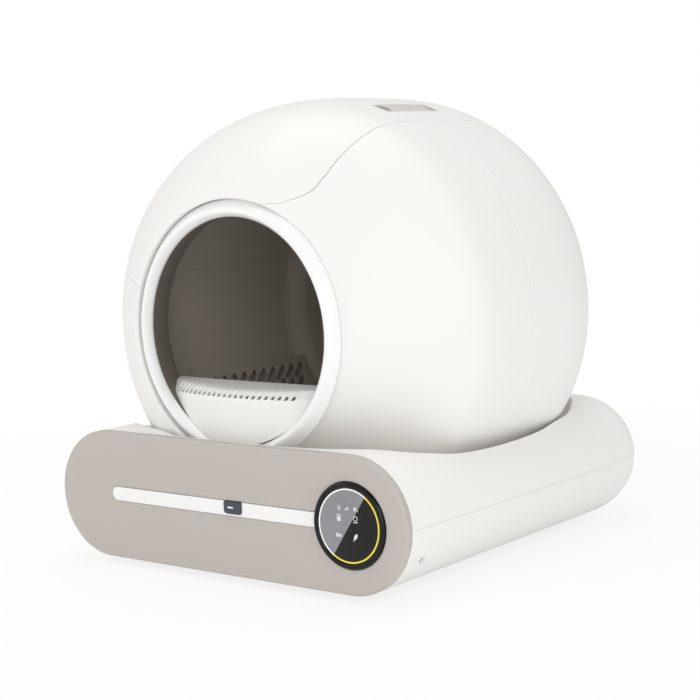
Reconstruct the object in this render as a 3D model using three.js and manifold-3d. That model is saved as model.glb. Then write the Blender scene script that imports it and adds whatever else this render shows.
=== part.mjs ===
// A self cleaning litter box: a rounded base with a waste drawer, a fixed outer globe with a hinged
// top lid, and an inner drum that turns on rollers to sift the litter.
// Millimetres, +Z up. X runs to the right and Y to the back, seen from the front.
// Pieces are laid out from the middle of the front panel's plane and the underside of the base, and
// the outermost group moves them so that the origin is under the middle of the whole object.

import * as THREE from "three";
import { mergeVertices } from "three/addons/utils/BufferGeometryUtils.js";
import Module from "manifold-3d";

const wasm = await Module();
wasm.setup();

// Overall sizes
const BASE_WIDTH = 550;
const BASE_DEPTH = 603;
const BASE_HEIGHT = 162;
const FOOT_HEIGHT = 8;
const SHELL_WALL = 3;
const SEAT_GAP = 0.3;
const PART_LINE_GAP = 0.6;
const OVERRUN = 40;

// Base housing
const BASE_CORNER_RADIUS = 11;
const BASE_RIM_WALL = 3;
const DECK_DROP = 40;
const DECK_THICKNESS = 5;
const DECK_MARGIN = 4;
const DECK_POST_RADIUS = 7;
const DECK_POST_INSET = 24;
const PANEL_THICKNESS = 9;
const PANEL_GAP = 0.5;
const PANEL_EDGE_RADIUS = 3;
const PANEL_DISH = 5;
const FOOT_RADIUS = 18;
const FOOT_TAPER = 2;
const FOOT_INSET = 46;

// Outer globe
const GLOBE_OVERHANG = 2.6;
const GLOBE_SINK = 103.1;
const GLOBE_FRONT_SETBACK = 18;
const GLOBE_REAR_SETBACK = 98.5;
const GLOBE_FULLEST_SHARE = 0.645;
const GLOBE_BLUNTNESS = 3.46;
const GLOBE_WALL = 3.2;
const COVER_SPLIT_SHARE = 0.528;
const VALLEY_START_SHARE = 0.0493;
const VALLEY_RISE_POWER = 1.8;
const VALLEY_CREST_POWER = 6;
const LID_SEAM = 0.9;
const LID_LEFT_ANGLE = 71;
const LID_REAR_SHARE = 0.868;

// Lid hinge
const HINGE_STANDOFF = 2;
const HINGE_BARREL_RADIUS = 4.5;
const HINGE_PIN_RADIUS = 2;
const HINGE_PIN_CLEARANCE = 0.15;
const HINGE_BARREL_CLEARANCE = 0.8;
const HINGE_REAR_ROOM = 39.4;
const HINGE_KNUCKLE_LENGTH = 16;
const HINGE_END_GAP = 0.6;
const HINGE_LUG_DEPTH = 6;

// Lid handle
const HANDLE_LENGTH = 112;
const HANDLE_WIDTH = 29;
const HANDLE_DEPTH = 15;
const HANDLE_ANGLE = 20;
const HANDLE_WALL = 2.2;
const HANDLE_SLOT = 11;
const HANDLE_PLATE = 2.6;
const HANDLE_FLANGE = 4;

// Entry ring, neck and guard
const RING_AXIS_DROP = 5.3;
const RING_ROOM = 117.9;
const RING_BEAD_WIDTH = 21;
const RING_PEAK_STEP = 7.3;
const RING_PEAK_Y = 25;
const RING_FULLNESS = 2;
const RING_MOUTH_Y = 37.9;
const RING_LIP_Y = 42.3;
const RING_LIP_THICKNESS = 3.3;
const RING_SPIGOT_LENGTH = 16;
const RING_CLEARANCE = 1;
const NECK_LENGTH = 35;
const NECK_FLARE = 7;
const NECK_WALL = 2.5;
const MOUTH_WALL = 2.6;
const MOUTH_FLANGE = 4.8;
const MOUTH_FLANGE_THICKNESS = 3.2;
const GUARD_TOP_RISE = 66.8;
const GUARD_RISE = 7;
const GUARD_BEVEL = 8;
const GUARD_FRONT_Y = 30;
const GUARD_REAR_Y = 80;
const GUARD_BOW = 22;
const BOW_ROUND = 128;
const GUARD_WALL = 3;
const COMB_COUNT = 22;
const COMB_PITCH = 9.15;
const COMB_SLOT = 4.8;
const COMB_DEPTH = 11;
const COMB_SILL = 1;
const COMB_START = 108;

// Drum
const DRUM_ROOM = 69.6;
const DRUM_WALL = 3;
const DRUM_MOUTH_STEP = 11.5;
const DRUM_MOUTH_GAP = 3;
const DRUM_SHOULDER_LENGTH = 46;
const DRUM_REAR_ROOM = 26.5;
const DRUM_STEP = 12;
const GEAR_SEAT_DEPTH = 17;
const GEAR_SEAT_LENGTH = 32;
const DRUM_DOME_DEPTH = 40;
const DRUM_PART_RISE = 64;
const WASTE_PORT_REAR_MARGIN = 44;
const WASTE_PORT_WIDTH = 150;
const WASTE_PORT_FRONT = 170;
const SIEVE_STANDOFF = 12;
const SIEVE_WALL = 2.6;
const SIEVE_FRONT = 150;
const SIEVE_REAR_MARGIN = 6;
const SIEVE_TOP_ANGLE = 68;
const SIEVE_LOW_ANGLE = 34;
const SIEVE_SLOT_PITCH = 20.6;
const SIEVE_SLOT_WIDTH = 12;
const SIEVE_SLOT_LENGTH = 28;
const SIEVE_SLOT_LEAN = 24;
const SIEVE_RIM = 3;
const SIEVE_ROWS = 3;

// Drive
const RING_GEAR_RIM = 9;
const RING_GEAR_TEETH = 80;
const PINION_TEETH = 10;
const GEAR_PRESSURE_ANGLE = 25;
const GEAR_ADDENDUM_SHARE = 0.75;
const GEAR_DEDENDUM_SHARE = 1;
const GEAR_BACKLASH = 0.5;
const RING_GEAR_WIDTH = 14;
const PINION_OVERHANG = 2;
const PINION_ANGLE = 36;
const SHAFT_RADIUS = 5;
const SHAFT_CLEARANCE = 0.3;
const SHAFT_INSERTION = 12;
const GEARBOX_WIDTH = 50;
const GEARBOX_HEIGHT = 40;
const GEARBOX_DEPTH = 26;
const GEARBOX_DROP = 9;
const MOTOR_RADIUS = 16;
const MOTOR_LENGTH = 52;
const MOTOR_EAR_LENGTH = 26;
const MOTOR_EAR_THICKNESS = 3;

// Support rollers
const ROLLER_RADIUS = 14;
const ROLLER_WIDTH = 24;
const ROLLER_ANGLE = 38;
const ROLLER_FRONT_Y = 160;
const ROLLER_REAR_MARGIN = 34;
const AXLE_RADIUS = 3;
const AXLE_CLEARANCE = 0.15;
const EAR_THICKNESS = 5;
const EAR_GAP = 1;
const EAR_RADIUS = 7.5;
const CRADLE_THICKNESS = 3;
const CRADLE_DROP = 18;

// Waste drawer
const DRAWER_SIDE_ROOM = 14;
const DRAWER_FRONT = 24;
const DRAWER_REAR_ROOM = 88;
const DRAWER_BOTTOM = 10;
const DRAWER_TOP_ROOM = 50;
const DRAWER_WALL = 2.6;
const DRAWER_CORNER = 18;
const DRAWER_DRAFT = 4;
const LEDGE_WIDTH = 7;
const LEDGE_HEIGHT = 4;
const LEDGE_RISE = 22;
const RUNNER_WALL = 4;
const RUNNER_CLEARANCE = 0.4;
const PANEL_POST_RADIUS = 6;

// Front panel fittings
const STRIP_LEFT = 190;
const STRIP_TOP = 11;
const STRIP_BOTTOM = 6.5;
const STRIP_THICKNESS = 2.2;
const STRIP_PROUD = 0.5;
const DISPLAY_RADIUS = 50.5;
const DISPLAY_PROUD = 1.2;
const BEZEL_WIDTH = 7;
const LIGHT_RING_WIDTH = 2;
const LENS_THICKNESS = 2;
const LENS_SINK = 0.8;
const BOARD_SIZE = 60;
const BOARD_THICKNESS = 1.6;
const BOARD_STANDOFF = 2.2;
const BUTTON_LEFT = 1.3;
const BUTTON_WIDTH = 27;
const BUTTON_HEIGHT = 15.6;
const BUTTON_CORNER = 4;
const BUTTON_PROUD = 2;
const BUTTON_TRAVEL = 1.5;
const BUTTON_GAP = 0.4;
const BUTTON_SKIRT = 2;
const PLUNGER_RADIUS = 3;
const PLUNGER_LENGTH = 6;
const SWITCH_SIZE = 14;

// Electrical fittings
const INLET_Y = 41;
const INLET_HEIGHT = 42;
const INLET_RADIUS = 6;
const INLET_BORE = 3.6;
const INLET_LENGTH = 14;
const MAIN_BOARD_WIDTH = 110;
const MAIN_BOARD_DEPTH = 70;
const MAIN_BOARD_RISE = 30;
const MAIN_BOARD_BEHIND = 22;
const MAIN_BOARD_POST_RADIUS = 4;

// Facet counts
const ROUND = 12;
const WIDE_ROUND = 36;
const GLOBE_SECTORS = 44;
const GLOBE_LINING_SECTORS = 22;
const RIM_POINTS = 48;

// Places worked out from the sizes
const BASE_RADIUS = BASE_HEIGHT / 2;
const CORE_HALF_WIDTH = BASE_WIDTH / 2 - BASE_RADIUS;
const CORE_BACK = BASE_DEPTH - BASE_RADIUS;
const SHELL_FRONT = PANEL_THICKNESS + PANEL_GAP;
const PANEL_MIDDLE = BASE_HEIGHT / 2;
const DECK_TOP = BASE_HEIGHT - DECK_DROP;
const GLOBE_RADIUS = BASE_WIDTH / 2 + GLOBE_OVERHANG;
const GLOBE_AXIS_Z = DECK_TOP + GLOBE_RADIUS - GLOBE_SINK;
const GLOBE_FRONT = GLOBE_FRONT_SETBACK;
const GLOBE_REAR = BASE_DEPTH - GLOBE_REAR_SETBACK;
const GLOBE_LENGTH = GLOBE_REAR - GLOBE_FRONT;
const GLOBE_MIDDLE = GLOBE_FRONT + GLOBE_LENGTH * GLOBE_FULLEST_SHARE;
const COVER_SPLIT_Y = GLOBE_FRONT + GLOBE_LENGTH * COVER_SPLIT_SHARE;
const VALLEY_START_Y = GLOBE_FRONT + GLOBE_LENGTH * VALLEY_START_SHARE;
const LID_REAR_Y = GLOBE_FRONT + GLOBE_LENGTH * LID_REAR_SHARE;
const RING_AXIS_Z = GLOBE_AXIS_Z - RING_AXIS_DROP;
const RING_LIP_RADIUS = GLOBE_RADIUS - RING_ROOM;
const RING_MOUTH_RADIUS = RING_LIP_RADIUS - RING_BEAD_WIDTH;
const MOUTH_BORE_RADIUS = RING_LIP_RADIUS + RING_CLEARANCE;
const RING_BACK_Y = RING_LIP_Y + RING_LIP_THICKNESS;
const SPIGOT_RADIUS = MOUTH_BORE_RADIUS - MOUTH_FLANGE - SEAT_GAP;
const NECK_FRONT_Y = RING_MOUTH_Y + RING_LIP_THICKNESS;
const NECK_BACK_Y = NECK_FRONT_Y + NECK_LENGTH;
const GUARD_TOP_DROP = RING_MOUTH_RADIUS - GUARD_TOP_RISE;
const DRUM_MOUTH_RADIUS = RING_MOUTH_RADIUS + DRUM_MOUTH_STEP;
const DRUM_MOUTH_Y = NECK_BACK_Y + DRUM_MOUTH_GAP;
const DRUM_SHOULDER_Y = DRUM_MOUTH_Y + DRUM_SHOULDER_LENGTH;
const DRUM_RADIUS = GLOBE_RADIUS - DRUM_ROOM;
const DRUM_BACK_Y = GLOBE_REAR - DRUM_REAR_ROOM;
const GEAR_SEAT_END_Y = DRUM_BACK_Y - DRUM_DOME_DEPTH;
const GEAR_SEAT_Y = GEAR_SEAT_END_Y - GEAR_SEAT_LENGTH;
const GEAR_SEAT_RADIUS = DRUM_RADIUS - GEAR_SEAT_DEPTH;
const DRUM_BARREL_END = GEAR_SEAT_Y - DRUM_STEP;
const WASTE_PORT_LENGTH = DRUM_BARREL_END - WASTE_PORT_REAR_MARGIN - WASTE_PORT_FRONT;
const SIEVE_RADIUS = DRUM_RADIUS - SIEVE_STANDOFF;
const SIEVE_REAR = DRUM_BARREL_END - SIEVE_REAR_MARGIN;
const ROLLER_REAR_Y = DRUM_BARREL_END - ROLLER_REAR_MARGIN;
const RING_GEAR_RADIUS = GEAR_SEAT_RADIUS + RING_GEAR_RIM;
const GEAR_MODULE = (RING_GEAR_RADIUS * 2) / RING_GEAR_TEETH;
const PINION_RADIUS = (GEAR_MODULE * PINION_TEETH) / 2;
const GEAR_CENTRES = RING_GEAR_RADIUS + PINION_RADIUS;
const GEAR_FRONT_Y = GEAR_SEAT_Y + (GEAR_SEAT_LENGTH - RING_GEAR_WIDTH) / 2;
const GEARBOX_FRONT_Y = GEAR_FRONT_Y + RING_GEAR_WIDTH + PINION_OVERHANG * 2;
const DISPLAY_X = CORE_HALF_WIDTH;
const DRAWER_WIDTH = (CORE_HALF_WIDTH - DRAWER_SIDE_ROOM) * 2;
const DRAWER_LENGTH = CORE_BACK - DRAWER_REAR_ROOM - DRAWER_FRONT;
const DRAWER_TOP = DECK_TOP - DRAWER_TOP_ROOM;

const radians = THREE.MathUtils.degToRad;
const PINION_X = GEAR_CENTRES * Math.sin(radians(PINION_ANGLE));
const PINION_Z = RING_AXIS_Z - GEAR_CENTRES * Math.cos(radians(PINION_ANGLE));
const ROLLER_REACH = DRUM_RADIUS + SEAT_GAP + ROLLER_RADIUS;
const ROLLER_X = ROLLER_REACH * Math.sin(radians(ROLLER_ANGLE));
const ROLLER_Z = RING_AXIS_Z - ROLLER_REACH * Math.cos(radians(ROLLER_ANGLE));

// Finishes
function finish(color, roughness, metalness = 0) {
  return new THREE.MeshStandardMaterial({ color, roughness, metalness });
}

const whitePlastic = finish(0xf6f5f2, 0.35);
const ringPlastic = finish(0xfbfbf9, 0.2);
const taupePlastic = finish(0xb8b1a9, 0.45);
const drumPlastic = finish(0x8a8178, 0.5);
const darkPlastic = finish(0x3c3a38, 0.5);
const glossBlack = finish(0x15161a, 0.08);
const lightGuide = finish(0xf2d24a, 0.3);
const buttonBlue = finish(0x2c3a4e, 0.3);
const gearPlastic = finish(0xe8e4d8, 0.45);
const rubber = finish(0x2a2a2a, 0.85);
const steel = finish(0xb9bcc0, 0.25, 1);
const boardGreen = finish(0x1f5a3c, 0.6);

// Solids from geometry
function solidOf(geometry) {
  const bare = new THREE.BufferGeometry();
  bare.setAttribute("position", geometry.getAttribute("position"));
  bare.setIndex(geometry.getIndex());
  const welded = mergeVertices(bare);
  const vertProperties = welded.getAttribute("position").array;
  const triVerts = new Uint32Array(welded.getIndex().array);
  const made = new wasm.Manifold(new wasm.Mesh({ numProp: 3, vertProperties, triVerts }));
  if (made.volume() >= 0) {
    return made;
  }
  const turned = triVerts.map((v, i) => triVerts[i % 3 === 0 ? i : i % 3 === 1 ? i + 1 : i - 1]);
  return new wasm.Manifold(new wasm.Mesh({ numProp: 3, vertProperties, triVerts: turned }));
}

function cut(body, ...tools) {
  return tools.reduce((left, tool) => left.subtract(tool), body);
}

function join(...bodies) {
  return bodies.reduce((whole, body) => whole.add(body));
}

function common(...bodies) {
  return bodies.reduce((whole, body) => whole.intersect(body));
}

function block(x0, x1, y0, y1, z0, z1) {
  const box = new THREE.BoxGeometry(x1 - x0, y1 - y0, z1 - z0);
  return solidOf(box.translate((x0 + x1) / 2, (y0 + y1) / 2, (z0 + z1) / 2));
}

// An outline of [x, y] points pushed up from z0 to z1.
function prismZ(points, z0, z1) {
  const shape = new THREE.Shape(points.map(([x, y]) => new THREE.Vector2(x, y)));
  const prism = new THREE.ExtrudeGeometry(shape, { depth: z1 - z0, bevelEnabled: false });
  return solidOf(prism.translate(0, 0, z0));
}

// An outline of [x, z] points pushed back from y0 to y1.
function prismY(points, y0, y1) {
  const shape = new THREE.Shape(points.map(([x, z]) => new THREE.Vector2(x, z)));
  const prism = new THREE.ExtrudeGeometry(shape, { depth: y1 - y0, bevelEnabled: false });
  return solidOf(prism.rotateX(Math.PI / 2).translate(0, y1, 0));
}

// An outline of [y, z] points pushed across from x0 to x1.
function prismX(points, x0, x1) {
  const shape = new THREE.Shape(points.map(([y, z]) => new THREE.Vector2(y, z)));
  const prism = new THREE.ExtrudeGeometry(shape, { depth: x1 - x0, bevelEnabled: false });
  const turn = new THREE.Matrix4().makeBasis(
    new THREE.Vector3(0, 1, 0),
    new THREE.Vector3(0, 0, 1),
    new THREE.Vector3(1, 0, 0),
  );
  return solidOf(prism.applyMatrix4(turn).translate(x0, 0, 0));
}

// A profile of [radius, y] points turned about a line along Y through (x, z).
function turned(profile, segments, x = 0, z = 0) {
  const closed = [...profile, profile[0]].map(([r, y]) => new THREE.Vector2(r, y));
  const turnedForm = new THREE.LatheGeometry(closed, segments);
  return solidOf(turnedForm.translate(x, 0, z));
}

function rod(radius, y0, y1, x, z, segments = ROUND) {
  const profile = [
    [0, y0],
    [radius, y0],
    [radius, y1],
    [0, y1],
  ];
  return turned(profile, segments, x, z);
}

function tube(outer, inner, y0, y1, x, z, segments = ROUND) {
  const profile = [
    [inner, y0],
    [outer, y0],
    [outer, y1],
    [inner, y1],
  ];
  return turned(profile, segments, x, z);
}

function post(radius, x, y, z0, z1, topRadius = radius) {
  const form = new THREE.CylinderGeometry(topRadius, radius, z1 - z0, ROUND);
  return solidOf(form.rotateX(Math.PI / 2).translate(x, y, (z0 + z1) / 2));
}

function arc(x, y, radius, from, to, steps) {
  return Array.from({ length: steps + 1 }, (_, i) => {
    const angle = radians(from + ((to - from) * i) / steps);
    return [x + radius * Math.cos(angle), y + radius * Math.sin(angle)];
  });
}

function roundedBox(x0, x1, y0, y1, radius, steps = 4) {
  return [
    ...arc(x1 - radius, y0 + radius, radius, -90, 0, steps),
    ...arc(x1 - radius, y1 - radius, radius, 0, 90, steps),
    ...arc(x0 + radius, y1 - radius, radius, 90, 180, steps),
    ...arc(x0 + radius, y0 + radius, radius, 180, 270, steps),
  ];
}

// A closed skin over rings of points, with a fan over each end ring.
function loft(rings) {
  const count = rings[0].length;
  const position = rings.flat().flatMap((p) => [p.x, p.y, p.z]);
  const index = [];
  for (let i = 0; i + 1 < rings.length; i += 1) {
    for (let j = 0; j < count; j += 1) {
      const a = i * count + j;
      const b = i * count + ((j + 1) % count);
      index.push(a, b, a + count, b, b + count, a + count);
    }
  }
  [0, rings.length - 1].forEach((end) => {
    const middle = position.length / 3;
    const centre = new THREE.Vector3();
    rings[end].forEach((p) => centre.add(p));
    centre.divideScalar(count);
    position.push(centre.x, centre.y, centre.z);
    for (let j = 0; j < count; j += 1) {
      const a = end * count + j;
      const b = end * count + ((j + 1) % count);
      index.push(...(end === 0 ? [middle, b, a] : [middle, a, b]));
    }
  });
  const skin = new THREE.BufferGeometry();
  skin.setAttribute("position", new THREE.Float32BufferAttribute(position, 3));
  skin.setIndex(index);
  return solidOf(skin);
}

function offsetLoop(points, distance) {
  const count = points.length;
  return points.map(([x, y], i) => {
    const [ax, ay] = points[(i + count - 1) % count];
    const [bx, by] = points[(i + 1) % count];
    const length = Math.hypot(bx - ax, by - ay);
    return [x + (distance * (by - ay)) / length, y - (distance * (bx - ax)) / length];
  });
}

// The base's rounded body: plan outlines that swell from the flat underside to mid height and back.
function pillow(inset, front) {
  const radius = BASE_RADIUS - inset;
  const steps = 10;
  const rings = Array.from({ length: steps + 1 }, (_, i) => {
    const tilt = radians(-90 + (180 * i) / steps);
    const swell = radius * Math.cos(tilt);
    const z = PANEL_MIDDLE + radius * Math.sin(tilt);
    const side = CORE_HALF_WIDTH + swell;
    const back = CORE_BACK + swell;
    const corner = BASE_CORNER_RADIUS + swell;
    const outline = [
      [-side, front],
      [side, front],
      ...arc(side - corner, back - corner, corner, 0, 90, 6),
      ...arc(corner - side, back - corner, corner, 90, 180, 6),
    ];
    return outline.map(([x, y]) => new THREE.Vector3(x, y, z));
  });
  return loft(rings);
}

// The rim of the well in the base's top, as shares of the base's half width and depth, front first.
const wellRimShares = [
  [0, 0.0249],
  [0.22, 0.0249],
  [0.415, 0.03],
  [0.542, 0.046],
  [0.662, 0.068],
  [0.745, 0.088],
  [0.804, 0.124],
  [0.847, 0.181],
  [0.873, 0.231],
  [0.89, 0.332],
  [0.89, 0.481],
  [0.88, 0.567],
  [0.862, 0.63],
  [0.836, 0.713],
  [0.804, 0.778],
  [0.755, 0.85],
  [0.67, 0.889],
  [0.545, 0.906],
  [0, 0.909],
  [-0.545, 0.906],
  [-0.67, 0.889],
  [-0.755, 0.85],
  [-0.804, 0.778],
  [-0.836, 0.713],
  [-0.862, 0.63],
  [-0.88, 0.567],
  [-0.89, 0.481],
  [-0.89, 0.332],
  [-0.87, 0.225],
  [-0.833, 0.171],
  [-0.775, 0.131],
  [-0.709, 0.109],
  [-0.633, 0.094],
  [-0.509, 0.074],
  [-0.382, 0.047],
  [-0.309, 0.029],
  [-0.22, 0.0249],
];

function wellRim() {
  const points = wellRimShares.map(
    ([x, y]) => new THREE.Vector3((x * BASE_WIDTH) / 2, y * BASE_DEPTH, 0),
  );
  const curve = new THREE.CatmullRomCurve3(points, true, "centripetal");
  return curve.getSpacedPoints(RIM_POINTS).slice(0, RIM_POINTS).map((p) => [p.x, p.y]);
}

const rim = wellRim();
const baseOuter = pillow(0, SHELL_FRONT);
const baseInner = pillow(SHELL_WALL, SHELL_FRONT - OVERRUN);

function makeBaseUpperShell() {
  const above = block(
    -BASE_WIDTH,
    BASE_WIDTH,
    -OVERRUN,
    BASE_DEPTH + OVERRUN,
    PANEL_MIDDLE + PART_LINE_GAP / 2,
    BASE_HEIGHT + OVERRUN,
  );
  const well = prismZ(rim, DECK_TOP, BASE_HEIGHT + OVERRUN);
  const skirtOuter = prismZ(offsetLoop(rim, BASE_RIM_WALL), DECK_TOP + SEAT_GAP, BASE_HEIGHT + OVERRUN);
  const skirt = common(skirtOuter, baseOuter);
  const skin = cut(common(baseOuter, above), baseInner);
  return cut(join(skin, skirt), well);
}

const deckPosts = [
  [-1, 0.16],
  [1, 0.16],
  [-1, 0.76],
  [1, 0.76],
].map(([side, share]) => [
  (side * BASE_WIDTH) / 2 - side * (BASE_RADIUS - DECK_POST_INSET),
  BASE_DEPTH * share,
]);

function makeBaseLowerShell() {
  const below = block(
    -BASE_WIDTH,
    BASE_WIDTH,
    -OVERRUN,
    BASE_DEPTH + OVERRUN,
    -OVERRUN,
    PANEL_MIDDLE - PART_LINE_GAP / 2,
  );
  const skin = cut(common(baseOuter, below), baseInner);
  const posts = deckPosts.map(([x, y]) =>
    post(DECK_POST_RADIUS, x, y, SHELL_WALL, DECK_TOP - DECK_THICKNESS - SEAT_GAP),
  );
  const supports = posts.map((p) => common(p, baseOuter));
  const inletHole = inletBarrel(INLET_RADIUS + SEAT_GAP, -OVERRUN, OVERRUN);
  return cut(join(skin, ...supports, ...mainBoardPosts()), inletHole);
}

// The inlet lies level across the base, square to the side wall.
function inletBarrel(radius, inwards, outwards) {
  const tilt = Math.asin((PANEL_MIDDLE - INLET_HEIGHT) / BASE_RADIUS);
  const wall = CORE_HALF_WIDTH + BASE_RADIUS * Math.cos(tilt);
  const length = outwards - inwards;
  const form = new THREE.CylinderGeometry(radius, radius, length, ROUND);
  form.rotateZ(Math.PI / 2);
  return solidOf(form.translate(wall + (inwards + outwards) / 2, INLET_Y, INLET_HEIGHT));
}

function makePowerInlet() {
  const barrel = inletBarrel(INLET_RADIUS, -INLET_LENGTH, OVERRUN);
  const bore = inletBarrel(INLET_BORE, -INLET_LENGTH + SHELL_WALL, OVERRUN);
  return cut(common(barrel, pillow(0, SHELL_FRONT)), bore);
}

function mainBoardPosts() {
  const y = CORE_BACK - MAIN_BOARD_BEHIND;
  return [-1, 1].map((side) =>
    post(
      MAIN_BOARD_POST_RADIUS,
      (side * MAIN_BOARD_WIDTH) / 3,
      y,
      SHELL_WALL / 2,
      MAIN_BOARD_RISE - SEAT_GAP,
    ),
  );
}

function makeMainBoard() {
  const y = CORE_BACK - MAIN_BOARD_BEHIND;
  const half = MAIN_BOARD_WIDTH / 2;
  return block(
    -half,
    half,
    y - MAIN_BOARD_DEPTH / 2,
    y + MAIN_BOARD_DEPTH / 2,
    MAIN_BOARD_RISE,
    MAIN_BOARD_RISE + BOARD_THICKNESS,
  );
}

function makeDeck() {
  const outline = offsetLoop(rim, BASE_RIM_WALL + DECK_MARGIN);
  const frontLimit = SHELL_FRONT + PANEL_GAP;
  const kept = outline.map(([x, y]) => [x, Math.max(y, frontLimit)]);
  const plate = prismZ(kept, DECK_TOP - DECK_THICKNESS, DECK_TOP);
  const opening = roundedBox(
    -ROLLER_X - ROLLER_RADIUS - EAR_THICKNESS,
    ROLLER_X + ROLLER_RADIUS + EAR_THICKNESS,
    DRUM_MOUTH_Y,
    GEARBOX_FRONT_Y + GEARBOX_DEPTH + EAR_THICKNESS,
    DRAWER_CORNER,
  );
  const gearRoom = block(
    0,
    PINION_X + GEARBOX_WIDTH / 2 + EAR_THICKNESS,
    GEAR_FRONT_Y - EAR_THICKNESS,
    GEARBOX_FRONT_Y + GEARBOX_DEPTH + EAR_THICKNESS,
    0,
    BASE_HEIGHT,
  );
  return cut(plate, prismZ(opening, 0, BASE_HEIGHT), gearRoom);
}

function makeFoot(x, y) {
  return post(FOOT_RADIUS - FOOT_TAPER, x, y, -FOOT_HEIGHT, 0, FOOT_RADIUS);
}

// Globe radius about its axis at a place y: full and blunt all round, but drawn in behind the ring
// along the right side, where a valley runs round the entrance.
function bluntRadius(y, shrink) {
  const front = GLOBE_MIDDLE - GLOBE_FRONT - shrink;
  const rear = GLOBE_REAR - GLOBE_MIDDLE - shrink;
  const share = Math.min(1, y < GLOBE_MIDDLE ? (GLOBE_MIDDLE - y) / front : (y - GLOBE_MIDDLE) / rear);
  const full = GLOBE_RADIUS - shrink;
  return full * (1 - share ** GLOBE_BLUNTNESS) ** (1 / GLOBE_BLUNTNESS);
}

// How far the valley has climbed from the ring, at 0, to the full globe, at 1.
function valleyRise(y) {
  const span = COVER_SPLIT_Y - VALLEY_START_Y;
  const share = Math.min(1, Math.max(0, (y - VALLEY_START_Y) / span));
  return 1 - (1 - share ** VALLEY_RISE_POWER) ** VALLEY_CREST_POWER;
}

function valleyRadius(y, shrink) {
  return MOUTH_BORE_RADIUS + (GLOBE_RADIUS - MOUTH_BORE_RADIUS) * valleyRise(y) - shrink;
}

// How much of the valley there is at an angle clockwise from the top.
function valleyShare(angle) {
  const ease = (t) => {
    const s = Math.min(1, Math.max(0, t));
    return s * s * (3 - 2 * s);
  };
  return ease((angle - 5) / 45) * (1 - ease((angle - 130) / 100));
}

function globe(shrink, sectors, frontSteps, rearSteps) {
  const rings = [];
  const mouthShare = (MOUTH_BORE_RADIUS / GLOBE_RADIUS) ** GLOBE_BLUNTNESS;
  const mouthReach = (1 - mouthShare) ** (1 / GLOBE_BLUNTNESS);
  const bluntStart = GLOBE_MIDDLE - (GLOBE_MIDDLE - GLOBE_FRONT) * mouthReach;
  const point = (angle, y) => {
    const share = valleyShare(angle);
    const valley = Math.min(valleyRadius(y, shrink), bluntRadius(y, shrink) || GLOBE_RADIUS);
    const blunt = bluntRadius(y, shrink);
    const radius = y < COVER_SPLIT_Y ? blunt + (valley - blunt) * share : blunt;
    const a = radians(angle);
    const axis = GLOBE_AXIS_Z - RING_AXIS_DROP * (1 - valleyRise(y));
    return new THREE.Vector3(radius * Math.sin(a), y, axis + radius * Math.cos(a));
  };
  for (let i = 0; i < frontSteps; i += 1) {
    const share = 1 - Math.cos((Math.PI / 2) * (i / frontSteps));
    rings.push(
      Array.from({ length: sectors }, (_, j) => {
        const angle = (360 * j) / sectors;
        const start = bluntStart + (VALLEY_START_Y - bluntStart) * valleyShare(angle) + shrink;
        return point(angle, start + (GLOBE_MIDDLE - start) * share);
      }),
    );
  }
  const endShare = 0.999;
  for (let i = 0; i <= rearSteps; i += 1) {
    const share = endShare * Math.sin((Math.PI / 2) * (i / rearSteps));
    const y = GLOBE_MIDDLE + (GLOBE_REAR - GLOBE_MIDDLE - shrink) * share;
    rings.push(Array.from({ length: sectors }, (_, j) => point((360 * j) / sectors, y)));
  }
  return loft(rings);
}

// The same form drawn in by the wall, with fewer facets.
function lining(shrink) {
  return globe(shrink, GLOBE_LINING_SECTORS, 7, 5);
}

const globeOuter = globe(0, GLOBE_SECTORS, 9, 6);
const globeInner = lining(GLOBE_WALL);

function makeGlobeShell() {
  const mouth = rod(
    MOUTH_BORE_RADIUS,
    -OVERRUN,
    RING_BACK_Y + GLOBE_WALL * 2,
    0,
    RING_AXIS_Z,
    WIDE_ROUND,
  );
  const under = block(
    -BASE_WIDTH,
    BASE_WIDTH,
    -OVERRUN,
    BASE_DEPTH,
    -OVERRUN,
    DECK_TOP + SEAT_GAP,
  );
  return cut(globeOuter, globeInner, mouth, under);
}

// The lid's outline seen from the front: a straight edge on the left and, on the right, an edge that
// leaves the ring on a curve and then runs straight out. Points are [radius share, degrees].
const lidEdgeShares = [
  [0.53, 12],
  [0.57, 21],
  [0.591, 25.7],
  [0.627, 29.2],
  [0.666, 31.4],
  [0.746, 31.1],
  [0.814, 29.9],
  [0.876, 29.3],
  [1.3, 29],
];

function lidWedge(grow, rearY) {
  const left = radians(LID_LEFT_ANGLE);
  const far = GLOBE_RADIUS * 1.3;
  const edge = lidEdgeShares.map(([share, angle]) => {
    const a = radians(angle);
    const r = share * GLOBE_RADIUS;
    return [r * Math.sin(a) + grow * Math.cos(a), r * Math.cos(a) - grow * Math.sin(a)];
  });
  const outline = [
    [-grow * Math.cos(left), -grow * Math.sin(left)],
    ...edge,
    [0, far * 1.3],
    [-far, far],
    [-far * Math.sin(left) - grow * Math.cos(left), far * Math.cos(left) - grow * Math.sin(left)],
  ];
  const placed = outline.map(([x, z]) => [x, z + GLOBE_AXIS_Z]);
  return prismY(placed, -OVERRUN, rearY + grow);
}

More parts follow.
